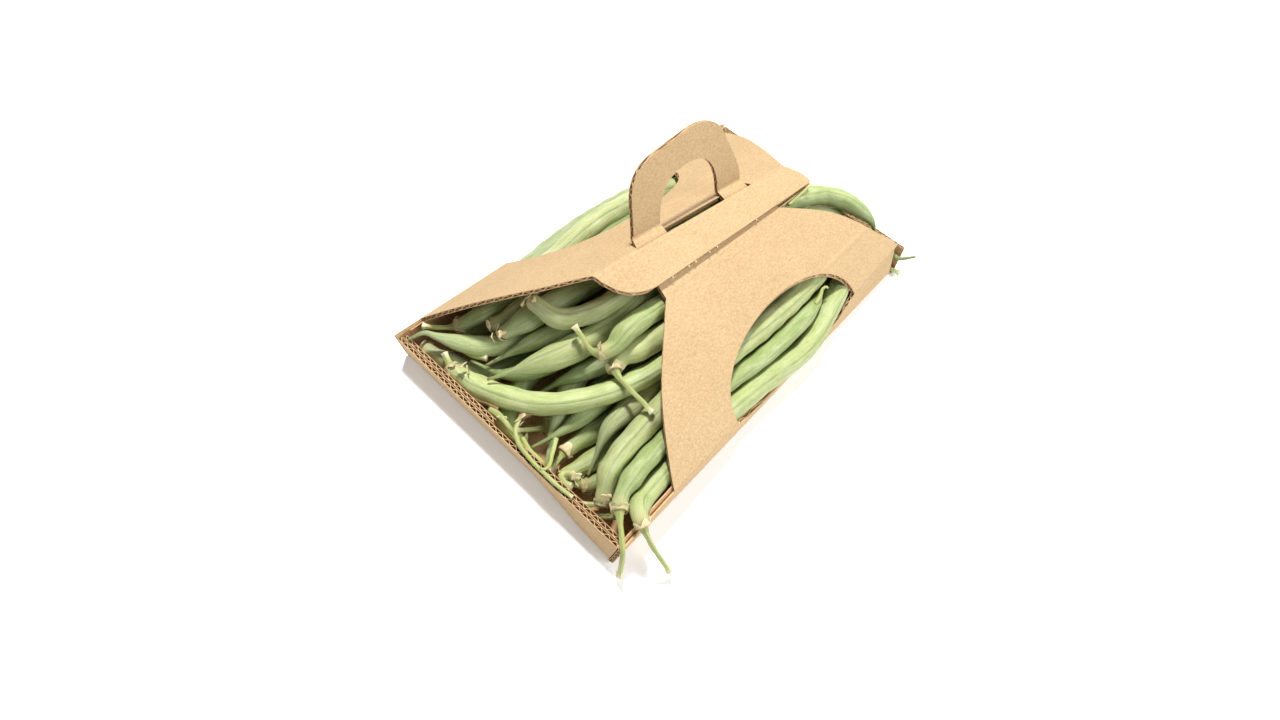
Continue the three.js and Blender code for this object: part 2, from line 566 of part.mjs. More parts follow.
// A pod is turned on a lathe as if straight, then each of its rings is carried to its place.
function podGeometry(pod, points) {
  const curve = new THREE.CatmullRomCurve3(points);
  const length = curve.getLength();
  const profile = podProfile(pod, length);
  const turned = [[0, 0], ...profile, [length, 0]].map(([s, r]) => new THREE.Vector2(r, s));
  const lathe = new THREE.LatheGeometry(turned, POD_SIDES);
  lathe.deleteAttribute('normal');
  lathe.deleteAttribute('uv');
  const geometry = mergeVertices(lathe, 1e-4);
  const frames = new Map();
  let normal = new THREE.Vector3(0, 0, 1);
  for (const [s] of profile) {
    const tangent = curve.getTangentAt(s / length);
    normal = normal.clone().addScaledVector(tangent, -normal.dot(tangent)).normalize();
    const binormal = new THREE.Vector3().crossVectors(normal, tangent);
    frames.set(Math.fround(s), { centre: curve.getPointAt(s / length), normal, binormal });
  }
  const position = geometry.attributes.position;
  for (let i = 0; i < position.count; i += 1) {
    const { centre, normal: n, binormal: b } = frames.get(position.getY(i));
    const place = centre.clone().addScaledVector(n, position.getX(i)).addScaledVector(b, position.getZ(i));
    position.setXYZ(i, place.x, place.y, place.z);
  }
  return geometry;
}

function buildPods() {
  const chains = PODS.map(startChain);
  settle(chains);
  PODS.forEach((pod, i) => {
    const name = `bean_${String(i + 1).padStart(2, '0')}`;
    add(pods, name, podGeometry(pod, chains[i].points), podSkin);
  });
}

buildTray();
buildSideWalls();
buildCovers();
buildHandle();
buildPods();

const bundle = new THREE.Group();
bundle.add(carton, pods);
export default bundle;
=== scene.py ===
import math

import bmesh
import bpy
import numpy as np
from mathutils import Matrix, Vector


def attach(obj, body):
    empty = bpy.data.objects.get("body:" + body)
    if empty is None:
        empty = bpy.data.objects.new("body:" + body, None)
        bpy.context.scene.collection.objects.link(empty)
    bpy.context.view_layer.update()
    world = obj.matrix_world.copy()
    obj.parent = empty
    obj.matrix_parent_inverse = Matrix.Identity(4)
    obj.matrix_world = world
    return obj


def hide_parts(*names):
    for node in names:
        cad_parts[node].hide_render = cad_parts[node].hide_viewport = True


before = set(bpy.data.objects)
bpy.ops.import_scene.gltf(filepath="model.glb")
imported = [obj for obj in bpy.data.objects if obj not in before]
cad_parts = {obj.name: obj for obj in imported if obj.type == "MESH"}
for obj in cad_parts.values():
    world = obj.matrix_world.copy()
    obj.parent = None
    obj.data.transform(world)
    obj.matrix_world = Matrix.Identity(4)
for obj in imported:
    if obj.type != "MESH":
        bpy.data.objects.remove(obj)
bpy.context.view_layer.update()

# Fresh green beans in a folded carton of corrugated board. Lengths in the code are millimetres,
# in the frame's own axes, until a mesh is made.
MM = 0.001

LENGTH = 196.0          # of the carton, over its end walls
HALF_BASE = 55.5        # half its width at the base
BOARD = 1.6             # thickness of the corrugated board
GAP = 0.3               # between two boards that lie side by side
END_WALL_HEIGHT = 15.0
FOLD_HEIGHT = 16.0      # where the side walls fold over into the covers
FLAP_LENGTH = 48.0      # of the tabs glued inside the end walls
FLAP_HEIGHT = 13.0
COVER_CROWN = 1.8       # how far the beans push the covers out
WINDOW_HALF_LENGTH = 44.0
WINDOW_DROP = 11.0
LEFT_WINDOW = (-1.5, 29.5, 0.8)     # its middle, its rise up the cover and the fullness of its shoulders
RIGHT_WINDOW = (10.5, 19.3, 1.0)
SLIT = 3.4              # at the rear right corner, which has come apart
APART_LEAN = 0.11       # how far that corner's wall end moves in, for each mm of height
APART_GAP = 6.0         # how far that corner's flap has slipped back
HANDLE_LENGTH = 34.0    # from its fold to past its top
HANDLE_LEAN = math.radians(20)
FRONT_LEAN = 0.22       # how far the beans push the front wall out, for each mm of height

WAVE = 3.3              # pitch of the board's wave
LINER = 0.26            # thickness of the two flat papers
MEDIUM = 0.2            # thickness of the waved paper between them
WAVE_STEPS = 8          # points along one wave

STRAND_SIDES = 14       # points round a loose stalk
FLAKE_SIDES = 18        # points round a scrap of calyx

# The camera's place, its turn, height and roll in degrees, and its lens.
CAMERA_PLACE = (-168.13, -85.0, 226.29)
CAMERA_ANGLES = (209.4427, 55.0057, 15.10)
CAMERA_LENS = 19.348
SENSOR_WIDTH = 36.0

FLOOR_SIZE = 5000.0


# ------------------------------------------------------------------ meshes

def make_object(name, verts, faces, smooth=False):
    mesh = bpy.data.meshes.new(name)
    mesh.from_pydata((np.asarray(verts) * MM).tolist(), [], faces)
    obj = bpy.data.objects.new(name, mesh)
    bpy.context.scene.collection.objects.link(obj)
    work = bmesh.new()
    work.from_mesh(mesh)
    bmesh.ops.recalc_face_normals(work, faces=work.faces)
    work.to_mesh(mesh)
    work.free()
    mesh.polygons.foreach_set("use_smooth", [smooth] * len(mesh.polygons))
    return obj


def boolean(target, tool, operation):
    modifier = target.modifiers.new("cut", "BOOLEAN")
    modifier.operation = operation
    modifier.solver = "MANIFOLD"
    modifier.material_mode = "TRANSFER"
    modifier.object = tool
    graph = bpy.context.evaluated_depsgraph_get()
    mesh = bpy.data.meshes.new_from_object(target.evaluated_get(graph))
    target.modifiers.clear()
    old = target.data
    target.data = mesh
    mesh.name = old.name
    bpy.data.meshes.remove(old)
    bpy.data.objects.remove(tool)


def grid_faces(rows, columns, start=0, close=False):
    faces = []
    for i in range(rows - 1):
        for j in range(columns if close else columns - 1):
            k = (j + 1) % columns
            a = start + i * columns
            faces.append((a + j, a + k, a + columns + k, a + columns + j))
    return faces


def ribbon(name, points, normals, low, high):
    """A closed sheet between two offsets from a surface of points [across, along]."""
    rows, columns = points.shape[:2]
    low = np.broadcast_to(np.asarray(low, float).reshape(-1, 1, 1), (rows, 1, 1))
    high = np.broadcast_to(np.asarray(high, float).reshape(-1, 1, 1), (rows, 1, 1))
    top = (points + normals * high).reshape(-1, 3)
    bottom = (points + normals * low).reshape(-1, 3)
    under = rows * columns
    faces = grid_faces(rows, columns)
    faces += [tuple(reversed(f)) for f in grid_faces(rows, columns, under)]
    for i in range(rows - 1):
        for j in (0, columns - 1):
            a = i * columns + j
            faces.append((a, a + columns, a + columns + under, a + under))
    for j in range(columns - 1):
        for i in (0, rows - 1):
            a = i * columns + j
            faces.append((a, a + 1, a + 1 + under, a + under))
    return make_object(name, np.concatenate([top, bottom]), faces)


def board(name, points, normals, coarse):
    """Corrugated board: two liners and a wave between them, which runs across the rows."""
    middle = points[:, points.shape[1] // 2]
    steps = np.linalg.norm(np.diff(middle, axis=0), axis=1)
    phase = 2 * np.pi * np.concatenate([[0], np.cumsum(steps)]) / WAVE
    depth = BOARD / 2 - LINER - MEDIUM / 2 + 0.04
    slope = depth * 2 * np.pi / WAVE * np.sin(phase)
    half = MEDIUM / 2 * np.sqrt(1 + slope ** 2)
    wave = depth * np.cos(phase)
    sheet = ribbon(name, points, normals, wave - half, wave + half)
    sheet.data.materials.append(BOARD_WAVE)
    for side in (1, -1):
        inner = side * (BOARD / 2 - LINER)
        outer = side * BOARD / 2
        liner = ribbon("liner", points[coarse], normals[coarse], min(inner, outer), max(inner, outer))
        liner.data.materials.append(BOARD_FACE if side > 0 else BOARD_BACK)
        boolean(sheet, liner, "UNION")
    return sheet


def prism(points, low, high):
    """An upright prism over an outline seen from above."""
    count = len(points)
    verts = [(x, y, low) for x, y in points] + [(x, y, high) for x, y in points]
    faces = [tuple(range(count)), tuple(range(2 * count - 1, count - 1, -1))]
    faces += [(i, (i + 1) % count, count + (i + 1) % count, count + i) for i in range(count)]
    return make_object("prism", verts, faces)


def block(low, high):
    (x0, y0, z0), (x1, y1, z1) = low, high
    return prism([(x0, y0), (x1, y0), (x1, y1), (x0, y1)], z0, z1)


def turned(obj, matrix):
    obj.data.transform(matrix)
    return obj


def smooth_edge(points, count):
    """Points of a smooth edge through a few given ones."""
    dense = catmull(np.array([(x, y, 0) for x, y in points], float), 16)[0]
    picks = np.linspace(0, len(dense) - 1, count + 1).round().astype(int)
    return [tuple(p) for p in dense[picks][:, :2]]


def catmull(points, per_span):
    """A smooth curve through points: the dense points and the distance along it of each given one."""
    ends = np.vstack([2 * points[0] - points[1], points, 2 * points[-1] - points[-2]])
    spans = np.maximum(np.linalg.norm(np.diff(ends, axis=0), axis=1) ** 0.5, 1e-6)
    knots = np.concatenate([[0], np.cumsum(spans)])
    dense = []
    for i in range(1, len(ends) - 2):
        t = np.linspace(knots[i], knots[i + 1], per_span, endpoint=False)[:, None]
        p0, p1, p2, p3 = ends[i - 1:i + 3]
        t0, t1, t2, t3 = knots[i - 1:i + 3]
        a1 = (t1 - t) / (t1 - t0) * p0 + (t - t0) / (t1 - t0) * p1
        a2 = (t2 - t) / (t2 - t1) * p1 + (t - t1) / (t2 - t1) * p2
        a3 = (t3 - t) / (t3 - t2) * p2 + (t - t2) / (t3 - t2) * p3
        b1 = (t2 - t) / (t2 - t0) * a1 + (t - t0) / (t2 - t0) * a2
        b2 = (t3 - t) / (t3 - t1) * a2 + (t - t1) / (t3 - t1) * a3
        dense.append((t2 - t) / (t2 - t1) * b1 + (t - t1) / (t2 - t1) * b2)
    dense = np.vstack(dense + [points[-1:]])
    along = np.concatenate([[0], np.cumsum(np.linalg.norm(np.diff(dense, axis=0), axis=1))])
    return dense, along[::per_span]


# ------------------------------------------------------------------ materials

def shader(name):
    material = bpy.data.materials.new(name)
    material.use_nodes = True
    tree = material.node_tree
    return material, tree, tree.nodes["Principled BSDF"]


def node(tree, kind, **settings):
    made = tree.nodes.new(kind)
    for key, value in settings.items():
        if key in made.inputs:
            made.inputs[key].default_value = value
        else:
            setattr(made, key, value)
    return made


def ramp(tree, source, stops):
    made = tree.nodes.new("ShaderNodeValToRGB")
    elements = made.color_ramp.elements
    while len(elements) < len(stops):
        elements.new(0.5)
    for element, (position, colour) in zip(elements, stops):
        element.position = position
        element.color = (*colour, 1) if len(colour) == 3 else colour
    tree.links.new(source, made.inputs["Fac"])
    return made.outputs["Color"]


def mix(tree, blend, factor, first, second):
    made = tree.nodes.new("ShaderNodeMix")
    made.data_type = "RGBA"
    made.blend_type = blend
    for key, value in (("Factor", factor), ("A", first), ("B", second)):
        socket = made.inputs[key]
        if isinstance(value, bpy.types.NodeSocket):
            tree.links.new(value, socket)
        elif isinstance(value, tuple):
            socket.default_value = (*value, 1)
        else:
            socket.default_value = value
    return made.outputs["Result"]


def noise_at(tree, vector, scale, detail=3.0, stretch=(1, 1, 1), roughness=0.55):
    mapping = node(tree, "ShaderNodeMapping", Scale=stretch)
    tree.links.new(vector, mapping.inputs["Vector"])
    made = node(tree, "ShaderNodeTexNoise", Scale=scale, Detail=detail, Roughness=roughness)
    tree.links.new(mapping.outputs["Vector"], made.inputs["Vector"])
    return made.outputs["Fac"]


def srgb(*channels):
    """A screen colour, 0 to 255, as a linear one. No channel is so dark that it needs the curve's foot."""
    return tuple(((c / 255 + 0.055) / 1.055) ** 2.4 for c in channels)


def maths(tree, operation, first, second):
    made = tree.nodes.new("ShaderNodeMath")
    made.operation = operation
    for socket, value in zip(made.inputs, (first, second)):
        if isinstance(value, bpy.types.NodeSocket):
            tree.links.new(value, socket)
        else:
            socket.default_value = value
    return made.outputs["Value"]


def dent(tree, place, start, end, width):
    """Where a soft dent runs between two points seen from above: 1 on its line, fading to 0."""
    start, end = Vector((*start, 0)) * MM, Vector((*end, 0)) * MM
    along = (end - start).normalized()
    offset = node(tree, "ShaderNodeVectorMath", operation="SUBTRACT")
    tree.links.new(place, offset.inputs[0])
    offset.inputs[1].default_value = start
    shares = []
    for direction, size in ((Vector((-along.y, along.x, 0)), width * MM), (along, (end - start).length)):
        dot = node(tree, "ShaderNodeVectorMath", operation="DOT_PRODUCT")
        tree.links.new(offset.outputs["Vector"], dot.inputs[0])
        dot.inputs[1].default_value = direction / size
        shares.append(dot.outputs["Value"])
    near = ramp(tree, maths(tree, "ABSOLUTE", shares[0], 0.0), [(0.0, (1, 1, 1)), (1.0, (0, 0, 0))])
    span = ramp(tree, shares[1], [(0.0, (0, 0, 0)), (0.2, (1, 1, 1)), (0.8, (1, 1, 1)), (1.0, (0, 0, 0))])
    return maths(tree, "MULTIPLY", near, span)


def kraft(name, light, dark, speck, bump, dents=()):
    """Kraft paper: fine grain, soft clouds and a few paler or darker fibres."""
    material, tree, surface = shader(name)
    place = node(tree, "ShaderNodeTexCoord").outputs["Object"]
    grain = noise_at(tree, place, 1500, 3, (0.7, 1, 1), 0.8)
    colour = ramp(tree, grain, [(0.36, dark), (0.64, light)])
    cloud = noise_at(tree, place, 60, 3)
    clouds = ramp(tree, cloud, [(0.3, (0.95, 0.94, 0.92)), (0.7, (1.03, 1.03, 1.03))])
    colour = mix(tree, "MULTIPLY", 0.8, colour, clouds)
    fibre = noise_at(tree, place, 700, 2, (0.22, 1.8, 1.8), 0.5)
    colour = mix(tree, "MIX", ramp(tree, fibre, [(0.66, (0, 0, 0)), (0.8, (0.4, 0.4, 0.4))]), colour, speck)
    relief = node(tree, "ShaderNodeBump", Strength=bump, Distance=0.0002)
    tree.links.new(grain, relief.inputs["Height"])
    for start, end, width in dents:
        line = dent(tree, place, start, end, width)
        colour = mix(tree, "MIX", maths(tree, "MULTIPLY", line, 0.35), colour, light)
        deeper = node(tree, "ShaderNodeBump", Strength=0.6, Distance=0.0006)
        tree.links.new(line, deeper.inputs["Height"])
        tree.links.new(relief.outputs["Normal"], deeper.inputs["Normal"])
        relief = deeper
    tree.links.new(colour, surface.inputs["Base Color"])
    surface.inputs["Roughness"].default_value = 0.86
    surface.inputs["Specular IOR Level"].default_value = 0.2
    tree.links.new(relief.outputs["Normal"], surface.inputs["Normal"])
    return material


BOARD_FACE = kraft("kraft_face", srgb(208, 181, 142), srgb(186, 156, 114), srgb(160, 126, 86), 0.35,
                   [((38, -38.6), (78, -38.0), 1.5), ((0, 20.6), (32, 15.6), 2.2)])
BOARD_BACK = kraft("kraft_back", srgb(202, 166, 124), srgb(178, 142, 102), srgb(150, 114, 80), 0.35)
BOARD_WAVE = kraft("kraft_wave", srgb(222, 190, 150), srgb(190, 156, 116), srgb(150, 118, 84), 0.5)
BOARD_SCORE = kraft("kraft_score", srgb(224, 200, 166), srgb(208, 182, 146), srgb(192, 162, 126), 0.2)


def bean_skin():
    """Bean flesh. Each point of a bean carries its colour, how spotted it is and its place along the skin."""
    material, tree, surface = shader("bean_skin")
    tint = node(tree, "ShaderNodeAttribute", attribute_name="tint").outputs["Color"]
    skin = node(tree, "ShaderNodeAttribute", attribute_name="skin").outputs["Fac"]
    grain = node(tree, "ShaderNodeAttribute", attribute_name="grain").outputs["Vector"]
    place = node(tree, "ShaderNodeTexCoord").outputs["Object"]
    streak = noise_at(tree, grain, 1, 4, (1.5, 1.5, 0.13), 0.65)
    tones = [(0.3, (0.76, 0.79, 0.68)), (0.52, (1.0, 1.0, 1.0)), (0.75, (1.14, 1.11, 1.2))]
    streaks = ramp(tree, streak, tones)
    colour = mix(tree, "MULTIPLY", 0.85, tint, streaks)
    cloud = noise_at(tree, grain, 1, 3, (0.3, 0.3, 0.12))
    clouds = ramp(tree, cloud, [(0.3, (0.8, 0.84, 0.72)), (0.7, (1.08, 1.06, 1.12))])
    colour = mix(tree, "MULTIPLY", 0.9, colour, clouds)
    # Pale patches of waxy bloom, which also stand in for the beans' sheen: partly painted sheen.
    bloom_and_sheen = noise_at(tree, grain, 1, 3, (0.42, 0.42, 0.09), 0.6)
    bloom_and_sheen_mask = ramp(tree, bloom_and_sheen, [(0.5, (0, 0, 0)), (0.72, (0.4, 0.4, 0.4))])
    colour = mix(tree, "MIX", bloom_and_sheen_mask, colour, srgb(206, 215, 183))
    pore = noise_at(tree, place, 1700, 2)
    pores = ramp(tree, pore, [(0.35, (0.84, 0.9, 0.8)), (0.65, (1.08, 1.05, 1.1))])
    colour = mix(tree, "MULTIPLY", 0.4, colour, pores)
    spot = noise_at(tree, grain, 1, 2, (0.34, 0.34, 0.3), 0.4)
    spots = ramp(tree, spot, [(0.68, (0, 0, 0)), (0.75, (0.6, 0.6, 0.6))])
    spots = mix(tree, "MULTIPLY", 1.0, spots, skin)
    colour = mix(tree, "MIX", spots, colour, srgb(178, 158, 96))
    tree.links.new(colour, surface.inputs["Base Color"])
    surface.inputs["Roughness"].default_value = 0.52
    surface.inputs["Specular IOR Level"].default_value = 0.32
    surface.inputs["Subsurface Weight"].default_value = 0.1
    surface.inputs["Subsurface Radius"].default_value = (0.0010, 0.0014, 0.0004)
    fine = node(tree, "ShaderNodeBump", Strength=0.35, Distance=0.0004)
    tree.links.new(streak, fine.inputs["Height"])
    wrinkle = noise_at(tree, grain, 1, 4, (0.8, 0.8, 0.42), 0.6)
    rough = node(tree, "ShaderNodeBump", Strength=0.35, Distance=0.0005)
    tree.links.new(wrinkle, rough.inputs["Height"])
    tree.links.new(fine.outputs["Normal"], rough.inputs["Normal"])
    tree.links.new(rough.outputs["Normal"], surface.inputs["Normal"])
    return material


BEAN_SKIN = bean_skin()


# ------------------------------------------------------------------ carton

def left_base(x):
    return HALF_BASE, 0.0


def left_fold(x):
    return HALF_BASE - 0.5, FOLD_HEIGHT


def right_base(x):
    return -HALF_BASE, 0.0


def right_fold(x):
    return -54 + 0.035 * x, FOLD_HEIGHT


def ridge(x):
    return 2.5 - 0.056 * x, 54 - 0.075 * x


def strip_edge(x):
    return -10.1 - 0.044 * x, 49.9 - 0.033 * x


def right_crease(x):
    return -12.4, 46.7


def handle_fold(x):
    return 7.25 - 0.048 * x, 53.45 - 0.086 * x


def handle_top(x):
    y, z = handle_fold(x)
    return y + HANDLE_LENGTH * math.sin(HANDLE_LEAN), z + HANDLE_LENGTH * math.cos(HANDLE_LEAN)


def folded(corners, radii, crowns, stations):
    """The middle surface of a board folded along long creases, as points and normals
    [across, along], and the rows that the flat papers need."""
    step = WAVE / WAVE_STEPS
    reference = np.array([c(0.0) for c in corners])
    counts = [max(2, round(np.linalg.norm(b - a) / step)) for a, b in zip(reference, reference[1:])]
    surfaces, normals, coarse = [], [], []
    for x in stations:
        outer = np.array([c(x) for c in corners])
        run = np.diff(outer, axis=0)
        run /= np.linalg.norm(run, axis=1)[:, None]
        normal = np.stack([-run[:, 1], run[:, 0]], 1)
        middle = [outer[0] - normal[0] * BOARD / 2]
        for k in range(1, len(outer) - 1):
            both = normal[k - 1] + normal[k]
            middle.append(outer[k] - BOARD / 2 * both / (1 + normal[k - 1] @ normal[k]))
        middle.append(outer[-1] - normal[-1] * BOARD / 2)
        row, row_normal, row_coarse = [], [], []
        start = middle[0]
        for k, count in enumerate(counts):
            last = k == len(counts) - 1
            if last:
                end, turn, side, reach = middle[-1], 0.0, 1, 0.0
            else:
                cross = run[k][0] * run[k + 1][1] - run[k][1] * run[k + 1][0]
                turn = math.atan2(cross, run[k] @ run[k + 1])
                side = 1 if turn > 0 else -1
                reach = radii[k] * math.tan(abs(turn) / 2)
                end = middle[k + 1] - run[k] * reach
            for i in range(count):
                share = i / count
                lift = crowns[k] * 4 * share * (1 - share)
                row.append(start + (end - start) * share + normal[k] * lift)
                row_normal.append(normal[k])
                if i == 0 or (crowns[k] and i % WAVE_STEPS == 0) or i == count - 1:
                    row_coarse.append(len(row) - 1)
            if last:
                row.append(end)
                row_normal.append(normal[k])
                row_coarse.append(len(row) - 1)
                continue
            centre = end + side * radii[k] * normal[k]
            for i in range(6):
                angle = turn * i / 6
                spun = np.array([
                    normal[k][0] * math.cos(angle) - normal[k][1] * math.sin(angle),
                    normal[k][0] * math.sin(angle) + normal[k][1] * math.cos(angle),
                ])
                row.append(centre - side * radii[k] * spun)
                row_normal.append(spun)
                row_coarse.append(len(row) - 1)
            start = middle[k + 1] + run[k + 1] * reach
        surfaces.append([(x, y, z) for y, z in row])
        normals.append([(0.0, y, z) for y, z in row_normal])
        coarse = row_coarse
    return (np.array(surfaces).transpose(1, 0, 2), np.array(normals).transpose(1, 0, 2), coarse)


def beside(x, offset):
    return x, ridge(x)[0] + offset


def cover_window(window, fold_y, side):
    """A window's upper part, which cuts the cover."""
    centre, rise, fullness = window
    points = [(centre - WINDOW_HALF_LENGTH, fold_y + side * 8)]
    for turn in np.linspace(math.pi, 0, 61):
        along = math.copysign(abs(math.cos(turn)) ** fullness, math.cos(turn))
        up = abs(math.sin(turn)) ** fullness
        points.append((centre + WINDOW_HALF_LENGTH * along, fold_y - side * rise * up))
    points.append((centre + WINDOW_HALF_LENGTH, fold_y + side * 8))
    return prism(points, FOLD_HEIGHT - 0.01, 90)


def wall_window(window, side):
    """A window's lower part, which cuts the side wall."""
    centre = window[0]
    points = [(centre + WINDOW_HALF_LENGTH, FOLD_HEIGHT), (centre - WINDOW_HALF_LENGTH, FOLD_HEIGHT)]
    for turn in np.linspace(math.pi, 2 * math.pi, 49)[1:-1]:
        drop = WINDOW_DROP * math.sin(turn)
        points.append((centre + WINDOW_HALF_LENGTH * math.cos(turn), FOLD_HEIGHT + drop))
    return on_side(points, side)


def on_side(points, side):
    """A prism through one side wall over an outline of (x, z)."""
    across = prism([(x, -side * z) for x, z in points], 35, 80)
    return turned(across, Matrix.Rotation(-side * math.pi / 2, 4, "X"))


def front_lean(y):
    """The front wall stands upright at its right end and is pushed out from there on."""
    return FRONT_LEAN * min(max((y + 46) / 30, 0), 1)


def wrap_outline():
    """What is left of the wrap, seen from above: all of it up to the side folds, and above them the left
    cover with its slot, the lock strip and the right cover."""
    left = [
        *smooth_edge([(-87, 60), (-86.5, 53), (-80, 38), (-66, 17.5), beside(-52.5, 0)], 16),
        beside(-31.4, 0), beside(-29.2, 5.0), beside(-14.3, 5.0), beside(-14.3, 3.5),
        beside(17.3, 3.3), beside(17.3, 5.0), beside(32.2, 5.0), beside(32.5, 0),
        *smooth_edge([beside(54, 0), (69, 18), (80, 34), (86.5, 53), (87, 60)], 16),
    ]
    nose = [(-51.9, 3.9), (-50.7, 1.4), (-47.3, -3.2), (-42.3, -6.4), (-36.8, -8.1),
            (-31.5, strip_edge(-31.5)[0])]
    strip = [
        beside(-52.5, 0.02), *smooth_edge(nose, 18)[1:],
        (-28, strip_edge(-28)[0] - BOARD / 2), (57, strip_edge(57)[0] - BOARD / 2),
        (58.4, -11.4), (58.2, -8.6), (57.6, -6.7), (55.5, -2.6),
        beside(53.8, 0.02), beside(32.6, 0.02), beside(32.5, 0), beside(-31.4, 0), beside(-31.5, 0.02),
    ]
    right = [
        *smooth_edge([(-72.5, -62), (-71, -56.5), (-66.5, -48), (-55.7, -33), (-33, -12.3)], 16),
        *smooth_edge([(36, -12.3), (62, -26), (83.4, -42), (95.5, -50.5), (97, -56)], 16),
    ]
    keep = block((-110, -80, -5), (110, 80, FOLD_HEIGHT))
    for outline, low in ((left, FOLD_HEIGHT - 0.1), (strip, 30), (right, FOLD_HEIGHT - 0.1)):
        boolean(keep, prism(outline, low, 90), "UNION")
    return keep


def trim_feet(wrap):
    """Cuts the wrap back behind the end walls, and opens the rear right corner."""
    front, rear = -LENGTH / 2, LENGTH / 2
    across = np.linspace(-HALF_BASE + 1.9, HALF_BASE - 1.9, 12)
    foot = [(front + 2 + front_lean(y) * END_WALL_HEIGHT, y) for y in across]
    foot += [(-LENGTH, across[-1]), (-LENGTH, across[0])]
    boolean(wrap, prism(foot, -2, FOLD_HEIGHT + 1), "DIFFERENCE")
    boolean(wrap, block((rear - 2, across[0], -2), (rear + 2, across[-1], FOLD_HEIGHT + 1)), "DIFFERENCE")
    corner = [(-LENGTH, -3), (front + FRONT_LEAN * (END_WALL_HEIGHT + 3), -3), (front, END_WALL_HEIGHT),
              (-LENGTH, END_WALL_HEIGHT)]
    boolean(wrap, on_side(corner, 1), "DIFFERENCE")
    slit = rear - BOARD - SLIT
    below = FOLD_HEIGHT - 0.6
    boolean(wrap, block((slit, -60, -2), (LENGTH, -HALF_BASE + 2.5, below)), "DIFFERENCE")
    boolean(wrap, block((slit, -54, 3), (LENGTH, -45, below)), "DIFFERENCE")


def add_nicks(wrap):
    """The little nubs on the strip's edge, where it was joined to the rest of the sheet."""
    for x in (-26.8, -18.3, -14.6, -7.0, -2.6, 21.0):
        y, z = strip_edge(x)
        nub = block((x - 0.3, y - 0.55, z - 1.0), (x + 0.3, y + 0.4, z - 0.35))
        nub.data.materials.append(BOARD_SCORE)
        boolean(wrap, nub, "UNION")


def carton_wrap():
    corners = [strip_edge, ridge, left_fold, left_base, right_base, right_fold, right_crease]
    stations = np.linspace(-LENGTH / 2, LENGTH / 2, 15)
    crowns = [0, COVER_CROWN, 0, 0, 0, COVER_CROWN]
    points, normals, coarse = folded(corners, [1.3, 1.7, 1.5, 1.5, 1.7], crowns, stations)
    wrap = board("carton_wrap", points, normals, coarse)
    boolean(wrap, wrap_outline(), "INTERSECT")
    boolean(wrap, cover_window(LEFT_WINDOW, left_fold(0)[0], 1), "DIFFERENCE")
    boolean(wrap, cover_window(RIGHT_WINDOW, right_fold(RIGHT_WINDOW[0])[0], -1), "DIFFERENCE")
    boolean(wrap, wall_window(LEFT_WINDOW, 1), "DIFFERENCE")
    boolean(wrap, wall_window(RIGHT_WINDOW, -1), "DIFFERENCE")
    trim_feet(wrap)
    add_nicks(wrap)
    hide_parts("tray_bottom", "left_side_wall", "right_side_wall",
                "left_cover", "right_cover", "lock_strip")
    return wrap


def bezier(points, count):
    """Points of a cubic curve, its last point left out."""
    p = np.array(points, float)
    t = np.linspace(0, 1, count, endpoint=False)[:, None]
    curve = (1 - t) ** 3 * p[0] + 3 * (1 - t) ** 2 * t * p[1] + 3 * (1 - t) * t ** 2 * p[2] + t ** 3 * p[3]
    return [tuple(q) for q in curve]


def handle_arch():
    """The handle's outline in its own plane: along its fold and up from it."""
    return [
        (-28.5, -1),
        *bezier([(-28.5, 12.5), (-28.5, 21), (-24, 24.5), (-17, 26)], 14),
        (-17, 26),
        *bezier([(2, 29.6), (12, 30.5), (19.5, 26.5), (22.2, 19.6)], 14),
        (22.2, 19.6),
        *bezier([(28.7, 9.8), (31.2, 5), (31.2, 5), (31.5, -1)], 8),
        (31.5, -1), (18, -1),
        *bezier([(18, 0.3), (17.4, 9), (13.5, 17.2), (2.5, 17.4)], 18),
        *bezier([(2.5, 17.4), (-10.5, 17.4), (-15, 11), (-15, 0.3)], 18),
        (-15, 0.3), (-15, -1),
    ]


def handle_plane():
    """From the handle's own axes, along its fold, up and out, to the frame's."""
    y0, z0 = handle_fold(0)
    y1, z1 = handle_fold(1)
    along = Vector((1, y1 - y0, z1 - z0)).normalized()
    upright = Vector((0, math.sin(HANDLE_LEAN), math.cos(HANDLE_LEAN)))
    up = (upright - along * upright.dot(along)).normalized()
    out = along.cross(up)
    plane = Matrix((along, up, out)).transposed().to_4x4()
    plane.translation = Vector((0, y0, z0)) * MM
    return plane


def carton_handle():
    stations = np.linspace(-34, 37, 9)
    points, normals, coarse = folded([right_crease, handle_fold, handle_top], [2.2], [0, 0], stations)
    handle = board("carton_handle", points, normals, coarse)
    crease = right_crease(0)[0] + 0.05
    beyond = lambda x: (x, handle_fold(x)[0] + 1.5)
    band = [
        (-33, crease), (-31, 3), beyond(-28.6), beyond(-14.8), (-14.8, -2), (-14.2, -3),
        (16.9, -3), (17.8, -2), beyond(17.8), beyond(31.6), (32.5, 0), (36, crease),
    ]
    keep = prism(band, 30, 56.5)
    arch = prism(handle_arch(), -BOARD - 1.5, 1.5)
    boolean(keep, turned(arch, handle_plane()), "UNION")
    boolean(handle, keep, "INTERSECT")
    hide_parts("handle", "handle_band")
    return handle


def wall_inside(base, fold, x, z):
    """Where a board that stands between the side walls ends at height z."""
    y0 = base(x)[0]
    y1 = fold(x)[0]
    y = y0 + (y1 - y0) * z / FOLD_HEIGHT
    return y - math.copysign(BOARD + GAP + 0.1, y)


